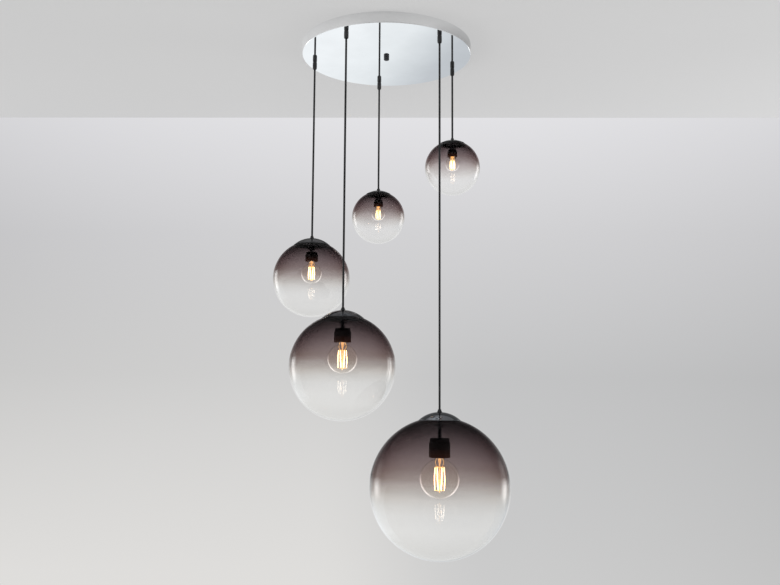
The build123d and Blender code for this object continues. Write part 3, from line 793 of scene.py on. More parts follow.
@dataclass(frozen=True)
class ClearGlass:
    """Thin clear glass that glows faintly from the lamp inside, with a highlight painted along its lower
    outline where rim is set.

    Args:
        name: The finish's name.
        glow: Strength of the glow.
        tint: The glass's own colour.
        rim: Strength of the highlight painted along the lower outline, by the attribute "rise".
        index: The glass's index of refraction.
        glow_colour: The glow's colour.
        rim_colour: The painted highlight's colour.
        rim_band: Stops of (level, share of the painted highlight), the level being 0 at the foot, 1 at the
            top.
        ripple_scale: Scale of the glass's unevenness.
        ripple_height: Height of that unevenness in metres.
        cloud_scale: Scale of the clouds of duller tint.
        cloud: The duller tint's share of the tint.
    """

    name: str
    glow: float
    tint: tuple[float, float, float] = (0.99, 0.985, 0.97)
    rim: float = 0.0
    index: float = 1.25
    glow_colour: tuple[float, float, float] = (1.0, 0.55, 0.2)
    rim_colour: tuple[float, float, float] = (1.0, 0.95, 0.93)
    rim_band: tuple[tuple[float, float], ...] = ((0.03, 0.0), (0.14, 1.0), (0.45, 0.7), (0.66, 0.0))
    ripple_scale: float = 40.0
    ripple_height: float = 5e-5
    cloud_scale: float = 60.0
    cloud: float = 0.97

    def build(self, effects: Effects) -> bpy.types.Material:
        """Makes the material.

        Args:
            effects: The shared shader effects.

        Returns:
            The material.
        """
        material, nodes, shader = new_material(self.name)
        clouds = nodes.spread(nodes.noise(self.cloud_scale, 2.0), 0.3, 0.7, 0.0, 1.0)
        duller = tuple(self.cloud * part for part in self.tint)
        nodes.put(shader.inputs["Base Color"], nodes.blend(clouds, (*duller, 1.0), (*self.tint, 1.0)))
        shader.inputs["Roughness"].default_value = 0.0
        shader.inputs["Transmission Weight"].default_value = 1.0
        shader.inputs["IOR"].default_value = self.index
        warm = tuple(self.glow * part for part in self.glow_colour)
        # A highlight painted along the lower outline stands in for the bright rim that the glass mirrors
        if self.rim:
            rise = nodes.add("ShaderNodeAttribute", attribute_name="rise").outputs["Fac"]
            facing = nodes.add("ShaderNodeLayerWeight").outputs["Facing"]
            outline = nodes.spread(facing, 0.55, 0.85, 0.0, 1.0, smooth=True)
            below = nodes.grey_ramp(nodes.spread(rise, -1.0, 1.0, 0.0, 1.0), self.rim_band)
            shine = tuple(self.rim * part for part in self.rim_colour)
            lit = nodes.blend(nodes.math("MULTIPLY", outline, below), (*warm, 1.0), (*shine, 1.0))
            nodes.put(shader.inputs["Emission Color"], lit)
        else:
            shader.inputs["Emission Color"].default_value = (*warm, 1.0)
        shader.inputs["Emission Strength"].default_value = 1.0
        ripple = nodes.effect(effects.blown_ripple, Scale=self.ripple_scale)
        give_bump(nodes, shader.inputs["Normal"], ripple.outputs["Height"], self.ripple_height)
        material.cycles.emission_sampling = "NONE"
        return material


@dataclass(frozen=True)
class HotWire:
    """A glowing wire, brighter than a picture can show, so that its reflections in glass show too.

    Args:
        name: The finish's name.
        colour: Its light's colour.
        strength: The light's strength.
        mirrored: The light's colour in reflections, which is that of the wire's hot middle.
        cooler: The cooler stretches' share of the colour.
        patch_scale: Scale of those stretches.
        metal: The wire's own colour.
    """

    name: str
    colour: tuple[float, float, float]
    strength: float
    mirrored: tuple[float, float, float] = (1.0, 0.9, 0.78)
    cooler: tuple[float, float, float] = (1.0, 0.9, 0.75)
    patch_scale: float = 500.0
    metal: tuple[float, float, float] = (0.8, 0.5, 0.2)

    def build(self, effects: Effects) -> bpy.types.Material:
        """Makes the material.

        Args:
            effects: The shared shader effects; not used.

        Returns:
            The material.
        """
        material, nodes, shader = new_material(self.name)
        shader.inputs["Base Color"].default_value = (*self.metal, 1.0)
        shader.inputs["Roughness"].default_value = 0.5
        patches = nodes.spread(nodes.noise(self.patch_scale, 2.0), 0.35, 0.65, 0.0, 1.0)
        cooler = tuple(part * share for part, share in zip(self.colour, self.cooler))
        seen = nodes.blend(patches, (*cooler, 1.0), (*self.colour, 1.0))
        reflected = nodes.math("GREATER_THAN", nodes.add("ShaderNodeLightPath").outputs["Glossy Depth"], 0.5)
        nodes.put(shader.inputs["Emission Color"], nodes.blend(reflected, seen, (*self.mirrored, 1.0)))
        shader.inputs["Emission Strength"].default_value = self.strength
        material.cycles.emission_sampling = "NONE"
        return material


Finish = PolishedMetal | MouldedPolymer | OmbreGlass | ClearGlass | HotWire


@dataclass(frozen=True)
class Palette:
    """Every finish of the chandelier, built once.

    Args:
        effects: The shared shader effects.
        made: The materials made so far, by name.
    """

    effects: Effects = field(default_factory=Effects)
    made: dict[str, bpy.types.Material] = field(default_factory=dict)

    def of(self, finish: Finish) -> bpy.types.Material:
        """The finish's material, made at its first use.

        Args:
            finish: One of the finishes above.

        Returns:
            The material.
        """
        if finish.name not in self.made:
            self.made[finish.name] = finish.build(self.effects)
        return self.made[finish.name]


MIRROR = PolishedMetal("Mirror chrome plate", (0.93, 0.935, 0.94), 0.015, 0.03, bump=0.0)
SMOKED_CHROME = PolishedMetal("Smoked chrome plate", (0.24, 0.25, 0.27), 0.05, 0.08)
BLACK_CHROME = PolishedMetal("Black chrome plate", (0.06, 0.06, 0.065), 0.12, 0.08)
ZINC = PolishedMetal("Zinc plated steel", (0.66, 0.67, 0.66), 0.28, 0.15, bump=8e-6)
BRASS = PolishedMetal("Rolled brass", (0.78, 0.62, 0.34), 0.22, 0.12, bump=5e-6)
SPRING_STEEL = PolishedMetal("Blued spring steel", (0.07, 0.07, 0.08), 0.22, 0.12, bump=4e-6)
SATIN_BLACK = MouldedPolymer("Satin black moulding", (0.012, 0.012, 0.013), 0.38)
# The lampholder's black, with a red glow painted at its mouth for the lit bulb's light
GLOW_PAINTED_BLACK = MouldedPolymer("Black moulding in lamplight", (0.006, 0.005, 0.005), 0.6, dust=0.01, painted_lamp_glow=0.03)
SHEATH = MouldedPolymer("Black cord sheath", (0.012, 0.012, 0.013), 0.55, grain=2500.0, relief=1e-6, dust=0.0)
RUBBER = MouldedPolymer("Black rubber", (0.02, 0.02, 0.02), 0.7)
WHITE_MOULDING = MouldedPolymer("White moulding", (0.72, 0.72, 0.68), 0.45, dust=0.15)
BUBBLE_GLASS = OmbreGlass()
# The bulb glass carries a highlight painted along its lower outline
BULB_GLASS = ClearGlass("Bulb glass", 0.008, rim=0.55)
STEM_GLASS = ClearGlass("Stem glass", 0.7, tint=(1.0, 0.86, 0.62))
STRAND_GLOW = HotWire("Glowing strand", (1.0, 0.74, 0.40), 6.0)
SUPPORT_GLOW = HotWire("Warm support wire", (1.0, 0.62, 0.16), 1.8)


# The object's pieces
def dress(node: str, material: bpy.types.Material) -> None:
    """Gives a CAD node a better material.

    Args:
        node: The node's name.
        material: Its finish.
    """
    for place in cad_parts[node].material_slots:
        place.material = material
    log.info("%s wears %s", node, material.name)


def seat(piece: bpy.types.Object, body: str, slot: Slot, *nodes: str) -> bpy.types.Object:
    """Rides a new piece on its body and hides the CAD nodes that it stands for.

    Args:
        piece: The new piece.
        body: The body that it moves with.
        slot: Its material slot; not used.
        *nodes: The nodes that it replaces.

    Returns:
        The piece.
    """
    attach(piece, body)
    if nodes:
        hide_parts(*nodes)
    log.info("%s rides on %s", piece.name, body)
    return piece


def middle(node: str) -> np.ndarray:
    """The centre of a CAD node's box."""
    low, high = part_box(node)
    return (np.array(low) + np.array(high)) / 2


@dataclass
class Canopy:
    """The mirror pan, its knob, the cord grips and what the pan hides.

    Args:
        palette: The finishes.
        grip_radius: A grip barrel's largest radius.
        grip_neck: Its radius at both ends.
        grip_taper: Height of the taper at each end.
        seat_radius: Radius of the mouth that the cord leaves by.
        seat_depth: Depth of that mouth.
        shank_radius: Radius of a grip's threaded shank through the plate, and of the stud in the knob.
        knob_height: Height of the middle knob.
        segments: Points round each turned piece.
    """

    palette: Palette
    grip_radius: float = 5.75 * MM
    grip_neck: float = 4.9 * MM
    grip_taper: float = 3 * MM
    seat_radius: float = 4 * MM
    seat_depth: float = 4 * MM
    shank_radius: float = 5 * MM
    knob_height: float = 10 * MM
    segments: int = 64

    def grip_surface(self, centre: np.ndarray) -> Surface:
        """A barrel with two fine grooves, a shank above and an open mouth below.

        Args:
            centre: The x and y of the cord in its middle.

        Returns:
            The turned surface of the rounded profile.
        """
        under = -CANOPY_HEIGHT
        mouth = under - GRIP_LENGTH
        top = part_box("cord_grips")[1][2]
        groove = 0.35 * MM
        waist_top = under - self.grip_taper
        waist_foot = mouth + self.grip_taper
        bore = CORD_RADIUS + 0.1 * MM
        corners = [
            (bore, top), (self.shank_radius, top), (self.shank_radius, under),
            (self.grip_radius, waist_top),
            (self.grip_radius, waist_top - 2 * groove),
            (self.grip_radius - groove, waist_top - 3 * groove),
            (self.grip_radius - groove, waist_top - 4 * groove),
            (self.grip_radius, waist_top - 5 * groove),
            (self.grip_radius, waist_foot + 5 * groove),
            (self.grip_radius - groove, waist_foot + 4 * groove),
            (self.grip_radius - groove, waist_foot + 3 * groove),
            (self.grip_radius, waist_foot + 2 * groove),
            (self.grip_radius, waist_foot), (self.grip_neck, mouth), (self.seat_radius, mouth),
            (self.seat_radius, mouth + self.seat_depth), (bore, mouth + self.seat_depth),
        ]
        return turned(rounded(corners, 0.5 * MM, 4), centre, self.segments, closed=True)

    def knob_surface(self) -> Surface:
        """A turned knob with a blind hole for the stud, a waist, a rounded shoulder and a domed end.

        Returns:
            The turned surface of the rounded profile.
        """
        under = -CANOPY_HEIGHT
        low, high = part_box("canopy_finial")
        radius = (high[0] - low[0]) / 2
        foot = under - self.knob_height
        hole_end = under - 6 * MM
        corners = [
            (0, hole_end), (self.shank_radius, hole_end), (self.shank_radius, under),
            (radius, under), (radius, under - 1.6 * MM), (radius - 0.9 * MM, under - 3 * MM),
            (radius, under - 4.4 * MM), (radius, foot + 2.4 * MM), (0.72 * radius, foot + 0.7 * MM),
            (0.35 * radius, foot), (0, foot),
        ]
        return turned(rounded(corners, 1.2 * MM, 6), np.zeros(2), self.segments, closed=True)

    def build(self) -> None:
        """Makes and dresses everything that rides on the root body."""
        of = self.palette.of
        dress("canopy_pan", of(MIRROR))
        for node in ("ceiling_bracket", "centre_stud", "hex_nuts", "machine_screws", "grip_screws"):
            dress(node, of(ZINC))
        dress("terminal_block", of(WHITE_MOULDING))
        dress("inner_leads", of(SHEATH))
        places = [middle(f"cord_{n}")[:2] for n in PENDANTS]
        grips = Surface.joined([self.grip_surface(place) for place in places])
        seat(grips.to_object("turned_cord_grips", of(SATIN_BLACK)), "root", Slot.BLACK_PLASTIC, "cord_grips")
        # The knob is mirror chrome like the pan; black chrome stands in for it as painted shade, for the dark
        # room in front that it mirrors
        knob = self.knob_surface().to_object("turned_knob", of(BLACK_CHROME))
        seat(knob, "root", Slot.MIRROR_CHROME, "canopy_finial")


@dataclass
class Pendant:
    """One hanging bubble with its cord, cap, lampholder and bulb.

    Every radius and height that a node shows comes from that node's box. All sizes are in metres.

    Args:
        number: From 1, the highest, to 5, the lowest.
        palette: The finishes.
        glass_wall: The bubble's wall.
        bulb_wall: The bulb's wall.
        cap_wall: The cap's wall.
        gasket_bead: Radius of the gasket's round section.
        cord_play: Gap between the cord and the hole in the collar and the tube.
        tube_radius: Radius of the threaded tube.
        thread_depth: Depth of that tube's thread.
        thread_pitch: Its pitch.
        neck_step: How much less the neck's radius is than the base's under its thread.
        strands: Wires in the filament's cage.
        strand_share: Radius of a glowing strand, as a share of the filament's radius.
        strand_lean: How far a strand's ends turn to either side, as a share of the step between strands.
        support_radius: Radius of the hooks' wire.
        stem_radius: Radius of the glass rod in the cage.
        segments: Points round the bubble and the cap.
    """

    number: int
    palette: Palette
    glass_wall: float = 3 * MM
    bulb_wall: float = 0.8 * MM
    cap_wall: float = 1 * MM
    gasket_bead: float = 0.45 * MM
    cord_play: float = 0.25 * MM
    tube_radius: float = 5 * MM
    thread_depth: float = 0.35 * MM
    thread_pitch: float = 1 * MM
    neck_step: float = 0.95 * MM
    strands: int = 8
    strand_share: float = 0.078
    strand_lean: float = 0.12
    support_radius: float = 0.3 * MM
    stem_radius: float = 1.4 * MM
    segments: int = 160

    def node(self, name: str) -> str:
        """This pendant's node of that name."""
        return f"{name}_{self.number}"

    def radius(self, name: str) -> float:
        """Half of a node's width along X."""
        low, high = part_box(self.node(name))
        return (high[0] - low[0]) / 2

    def low(self, name: str) -> float:
        """A node's lowest height."""
        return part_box(self.node(name))[0][2]

    def high(self, name: str) -> float:
        """A node's highest height."""
        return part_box(self.node(name))[1][2]

    @property
    def axis(self) -> np.ndarray:
        """The pendant's x and y."""
        return middle(self.node("cord"))[:2]

    @property
    def bubble_centre(self) -> float:
        """The height of the bubble's centre."""
        return self.low("bubble") + self.radius("bubble")

    def bubble_surface(self) -> Surface:
        """A ball shell with a fire-polished opening.

        The profile runs up the outer circle from the foot to the lip, over the lip's half circle and
        down the inner circle. The attribute is the height over the centre divided by the radius.

        Returns:
            The bubble's surface.
        """
        outer = self.radius("bubble")
        inner = outer - self.glass_wall
        centre = self.bubble_centre
        lip_height = self.high("bubble") - centre
        lip_angle = np.arcsin(lip_height / outer)
        lip_radius = self.glass_wall / 2
        mean = outer - lip_radius
        count = self.segments // 2
        outside = arc((0, centre), outer, -np.pi / 2, lip_angle, count)
        inside = arc((0, centre), inner, lip_angle, -np.pi / 2, count)
        lip_centre = (mean * np.cos(lip_angle), centre + mean * np.sin(lip_angle))
        lip = arc(lip_centre, lip_radius, lip_angle, lip_angle + np.pi, 10)[1:-1]
        profile = np.concatenate([outside, lip, inside])
        profile[:, 0] = np.maximum(profile[:, 0], 0)
        rise = (profile[:, 1] - centre) / outer
        return turned(profile, self.axis, self.segments, rise=rise)

    def cap_surface(self) -> Surface:
        """A thin dome with a rolled rim.

        Its profile is an outer and an inner circle, a wall apart, joined by the rim's bead below and open
        round the tube above. A dome of radius r that rises by h is part of a ball of (r^2 + h^2) / 2h.

        Returns:
            The cap's surface.
        """
        radius = self.radius("cap")
        top = self.high("cap")
        rim = self.low("cap") + self.cap_wall
        rise = top - rim
        dome = (radius**2 + rise**2) / (2 * rise)
        half = np.arcsin((radius - self.cap_wall) / dome)
        hole = np.arcsin(self.radius("tube") * 0.7 / dome)
        outside = arc((0, top - dome), dome, np.pi / 2 - hole, np.pi / 2 - half, 40)
        inside = arc((0, top - dome), dome - self.cap_wall, np.pi / 2 - half, np.pi / 2 - hole, 40)
        bead_radius = self.cap_wall * 0.62
        bead_centre = (radius - bead_radius, rim + bead_radius * 0.2)
        bead = arc(bead_centre, bead_radius, np.pi / 2.2, -np.pi * 1.1, 14)
        return turned(np.concatenate([outside, bead, inside]), self.axis, self.segments, closed=True)

    def gasket_surface(self) -> Surface:
        """A thin black bead between the cap's rim and the glass: a circle carried round the bubble.

        Returns:
            The gasket's surface.
        """
        radius = self.radius("cap") - 0.2 * MM
        outer = self.radius("bubble")
        height = self.bubble_centre + np.sqrt(outer**2 - radius**2) + self.gasket_bead * 0.4
        section = arc((radius, height), self.gasket_bead, 0, FULL_TURN, 13)[:-1]
        return turned(section, self.axis, self.segments, closed=True)

    def collar_surface(self) -> Surface:
        """The flared collar round the cord over the cap.

        Returns:
            The turned surface of the rounded profile.
        """
        top, cap = self.high("tube"), self.high("cap")
        flare = self.radius("tube")
        bore = CORD_RADIUS + self.cord_play
        tip = bore + 1.15 * MM
        corners = [
            (bore, top), (tip, top), (tip + 0.5 * MM, top - 0.5 * (top - cap)),
            (flare - 1.2 * MM, cap + 1.2 * MM), (flare, cap + 0.7 * MM), (flare, cap), (bore, cap),
        ]
        return turned(rounded(corners, 0.6 * MM, 5), self.axis, 48, closed=True)

    def shank_surface(self) -> Surface:
        """The plated threaded tube under the cap; its rounded ridges stand in for the thread.

        Between its plain ends the outer radius is shank - depth (1 - cos(2 pi z / pitch)) / 2.

        Returns:
            The tube's surface.
        """
        low, top = self.low("tube"), self.high("cap")
        bore, shank = CORD_RADIUS + self.cord_play, self.tube_radius
        depth, pitch = self.thread_depth, self.thread_pitch
        height = np.linspace(low + pitch, top - pitch, 8 * int((top - low) / pitch))
        ridge = shank - depth * (1 - np.cos(height / pitch * FULL_TURN)) / 2
        outside = np.stack([ridge, height], -1)
        low_end, top_end = [[bore, low], [shank - depth, low]], [[shank - depth, top], [bore, top]]
        return turned(np.concatenate([low_end, outside, top_end]), self.axis, 48, closed=True)

    def holder_surface(self) -> Surface:
        """The lampholder: a shoulder, a fine ring, a socket and over it a contact plate with a blind hole.

        The attribute is the height over the mouth divided by the lampholder's height.

        Returns:
            The turned surface of the rounded profile.
        """
        low, top = self.low("lampholder"), self.high("lampholder")
        radius = self.radius("lampholder")
        height = top - low
        socket = self.radius("bulb_base") + 0.1 * MM
        socket_top = self.high("bulb_base") + 0.3 * MM
        hole, plate = self.tube_radius + 0.05 * MM, 1.2 * MM
        step, groove = 2 * MM, 0.5 * MM
        shoulder = top - 0.2 * height
        ring = low + 0.42 * height
        corners = [
            (hole, top), (radius - step - 1.2 * MM, top), (radius - step, top - 1.2 * MM),
            (radius - step, shoulder), (radius, shoulder - step),
            (radius, ring + 2 * groove), (radius - groove, ring + groove), (radius - groove, ring - groove),
            (radius, ring - 2 * groove),
            (radius, low + 1.4 * MM), (radius - 1 * MM, low), (socket, low),
            (socket, socket_top), (0, socket_top), (0, socket_top + plate), (hole, socket_top + plate),
        ]
        profile = rounded(corners, 0.8 * MM, 5)
        profile[:, 0] = np.where(profile[:, 0] < 0.9 * MM, 0, profile[:, 0])
        return turned(profile, self.axis, 96, closed=True, rise=(profile[:, 1] - low) / height)

    def bulb_surface(self) -> Surface:
        """A thin ball drawn in to a neck, with one smooth curve between them.

        The profile is the ball's circle up to the shoulder, a cubic curve that leaves along the circle
        and arrives along the neck, and the neck; the inner one is the same, a wall further in. The
        attribute is the height over the ball's centre divided by its radius, plus the drop of the painted
        highlight.

        Returns:
            The bulb's surface.
        """
        low, top = self.low("bulb_glass"), self.high("bulb_glass")
        ball = self.radius("bulb_glass")
        base_thread = (0.95 if self.number > 3 else 0.75) * MM
        neck = self.radius("bulb_base") - base_thread - self.neck_step
        centre = low + ball
        outlines = []
        for inset in (0.0, self.bulb_wall):
            radius, throat = ball - inset, neck - inset
            shoulder = np.pi / 2 - np.arcsin(min(0.96, throat * 1.45 / radius))
            round_part = arc((0, centre), radius, -np.pi / 2, shoulder, 60)
            start = round_part[-1]
            on_circle = centre + np.sqrt(radius**2 - throat**2)
            mouth = np.array([throat, max(start[1] + 0.2 * (top - start[1]), on_circle)])
            reach = 0.55 * np.linalg.norm(mouth - start)
            leave = start + reach * np.array([-np.sin(shoulder), np.cos(shoulder)])
            arrive = mouth - np.array([0, reach])
            t = np.linspace(0, 1, 14)[1:, None]
            curve = ((1 - t) ** 3 * start + 3 * t * (1 - t) ** 2 * leave
                     + 3 * t**2 * (1 - t) * arrive + t**3 * mouth)
            outlines.append(np.concatenate([round_part, curve, [[throat, top]]]))
        profile = np.concatenate([outlines[0], outlines[1][::-1]])
        profile[:, 0] = np.maximum(profile[:, 0], 0)
        rise = (profile[:, 1] - centre) / ball + PAINTED_RIM_DROP.get(self.number, 0)
        return turned(profile, self.axis, 112, rise=rise)

    def cage(self) -> tuple[float, float, float]:
        """The filament cage's own sizes, from the filament node and the strand's size.

        Returns:
            Its foot's height, its head's height and its radius.
        """
        foot = self.low("filament") + CAGE_FOOT[self.number]
        head = foot + CAGE_SHARE[self.number] * (self.high("filament") - foot)
        return foot, head, self.radius("filament") - self.strand_radius

    @property
    def strand_radius(self) -> float:
        """Radius of a glowing strand."""
        return self.strand_share * self.radius("filament")

    def strand_surface(self) -> Surface:
        """Upright glowing strands, each a bowed tube that leans the other way than its neighbours.

        For t from 0 at the foot to 1 at the head, a strand goes round by lean times the step between
        strands to either side, at radius (1 - 0.05 cos 2 pi t) from the axis, and is thinner by
        0.35 (2t - 1)^4 of itself.

        Returns:
            The strands' surfaces, joined.
        """
        foot, head, radius = self.cage()
        parts = []
        step = FULL_TURN / self.strands
        t = np.linspace(0, 1, 12)[:, None]
        for strand in range(self.strands):
            angle = step * (strand + 0.5)
            shift = self.strand_lean * step * (-1) ** strand
            low_angle, high_angle = angle - shift, angle + shift
            turn = low_angle + (high_angle - low_angle) * t
            bow = radius * (1 - 0.05 * np.cos(t * FULL_TURN))
            height = foot + (head - foot) * t
            path = np.concatenate([bow * np.cos(turn), bow * np.sin(turn), height], 1)
            radii = self.strand_radius * (1 - 0.35 * (2 * t[:, 0] - 1) ** 4)
            parts.append(tube(path, radii, 8, np.array([0.3, 0.2, 0.01])))
        return Surface.joined(parts).moved(np.append(self.axis, 0))

    def support_surface(self) -> Surface:
        """Fine hooks from the stem to each strand's ends, and two lead wires up into the neck.

        For t from 0 at the stem to 1 at the strand, a hook runs straight out, and up or down by
        0.12 radius sin pi t - 0.1 radius (1 - t). A lead wire rises evenly, at
        0.75 radius sin(pi min(1, 0.15 + 0.8 t)) and a little more from the axis.

        Returns:
            The wires' surfaces, joined.
        """
        foot, head, radius = self.cage()
        top = self.high("filament")
        parts = []
        step = FULL_TURN / self.strands
        stem = 1.5 * MM
        t = np.linspace(0, 1, 9)[:, None]
        up = np.array([0.0, 0.0, 1.0])
        for strand in range(self.strands):
            angle = step * (strand + 0.5)
            outward = np.array([np.cos(angle), np.sin(angle), 0.0])
            across = np.array([-np.sin(angle), np.cos(angle), 0.0])
            for end, way in ((foot, -1.0), (head, 1.0)):
                reach = stem + (radius - stem) * t
                arch = 0.12 * radius * np.sin(np.pi * t) - 0.1 * radius * (1 - t)
                curve = outward * reach + up * (end + way * arch)
                parts.append(tube(curve, self.support_radius, 6, across + 0.1 * up))
        for side in (-1, 1):
            rise = (top - head) * t
            reach = side * (radius * 0.75 * np.sin(np.pi * np.minimum(1, 0.15 + 0.8 * t)) + 0.6 * MM)
            curve = np.concatenate([reach, 0 * t, head + rise], 1)
            parts.append(tube(curve, self.support_radius * 1.3, 6, np.array([0.0, 1.0, 0.05])))
        return Surface.joined(parts).moved(np.append(self.axis, 0))

    def stem_surface(self) -> Surface:
        """The glass stem: a flare in the neck, a slim rod through the cage and a rounded tip.

        Returns:
            The turned surface of the rounded profile.
        """
        low, top = self.low("filament"), self.high("filament")
        _, head, radius = self.cage()
        rod = self.stem_radius
        flare = min(0.55 * radius, 3.6 * MM)
        corners = [
            (0, low), (rod * 0.8, low + 0.2 * MM), (rod, low + 1.6 * MM), (rod, head),
            (rod * 1.15, head + 0.25 * (top - head)), (flare, head + 0.6 * (top - head)),
            (flare, top), (0, top),
        ]
        return turned(rounded(corners, 2 * MM, 6), self.axis, 28, closed=True)

    def build_cord(self) -> None:
        """The straight cord, a tube that shortens towards the grip as the bubble is raised."""
        x, y = self.axis
        foot = self.low("cord")
        path = spline_points([(x, y, CORD_TOP), (x, y, (CORD_TOP + foot) / 2), (x, y, foot)])
        surface = tube(path, CORD_RADIUS, 20, np.array([1.0, 0.0, 0.0]))
        name = f"sheathed_cord_{self.number}"
        piece = surface.to_object(name, self.palette.of(SHEATH))
        seat(piece, f"hanging_cord_{self.number}", Slot.BLACK_CORD, self.node("cord"))
        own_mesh(piece)

    def build(self) -> None:
        """Makes and dresses the whole pendant."""
        of = self.palette.of
        n = self.number
        body, bulb = f"pendant_{n}", f"bulb_{n}"
        # All caps share one dark chrome plating; cap 5 wears a paler copy of it, painted light that stands in
        # for the brighter reflections on that cap
        plate = SMOKED_CHROME if n == 5 else BLACK_CHROME
        self.build_cord()
        dress(self.node("grip_seal"), of(RUBBER))
        dress(self.node("spring_clip"), of(SPRING_STEEL))
        dress(self.node("bulb_base"), of(BRASS))
        black, glow = Slot.BLACK_PLASTIC, Slot.GLOWING_FILAMENT
        pieces = (
            (self.cap_surface, "spun_cap", plate, body, Slot.DARK_CHROME, "cap"),
            (self.gasket_surface, "cap_gasket", RUBBER, body, Slot.BLACK_RUBBER, None),
            (self.collar_surface, "cord_collar", SATIN_BLACK, body, Slot.DARK_CHROME, "tube"),
            (self.shank_surface, "threaded_tube", SMOKED_CHROME, body, Slot.DARK_CHROME, "tube"),
            (self.holder_surface, "ringed_lampholder", GLOW_PAINTED_BLACK, body, black, "lampholder"),
            (self.bubble_surface, "blown_bubble", BUBBLE_GLASS, body, Slot.SMOKE_GLASS, "bubble"),
            (self.bulb_surface, "blown_bulb", BULB_GLASS, bulb, Slot.CLEAR_GLASS, "bulb_glass"),
            (self.strand_surface, "glowing_strands", STRAND_GLOW, bulb, glow, "filament"),
            (self.support_surface, "filament_hooks", SUPPORT_GLOW, bulb, glow, None),
            (self.stem_surface, "glass_stem", STEM_GLASS, bulb, Slot.CLEAR_GLASS, None),
        )
        for surface, name, finish, carrier, slot, node in pieces:
            piece = surface().to_object(f"{name}_{n}", of(finish))
            seat(piece, carrier, slot, *([self.node(node)] if node else []))


# Studio
@dataclass(frozen=True)
class Lamp:
    """A soft rectangular lamp.

    Args:
        name: The lamp's name.
        place: Where it stands.
        aim: The point that it shines at.
        size: Its width and height.
        power: Its power in watts.
    """

    name: str
    place: tuple[float, float, float]
    aim: tuple[float, float, float]
    size: tuple[float, float]
    power: float


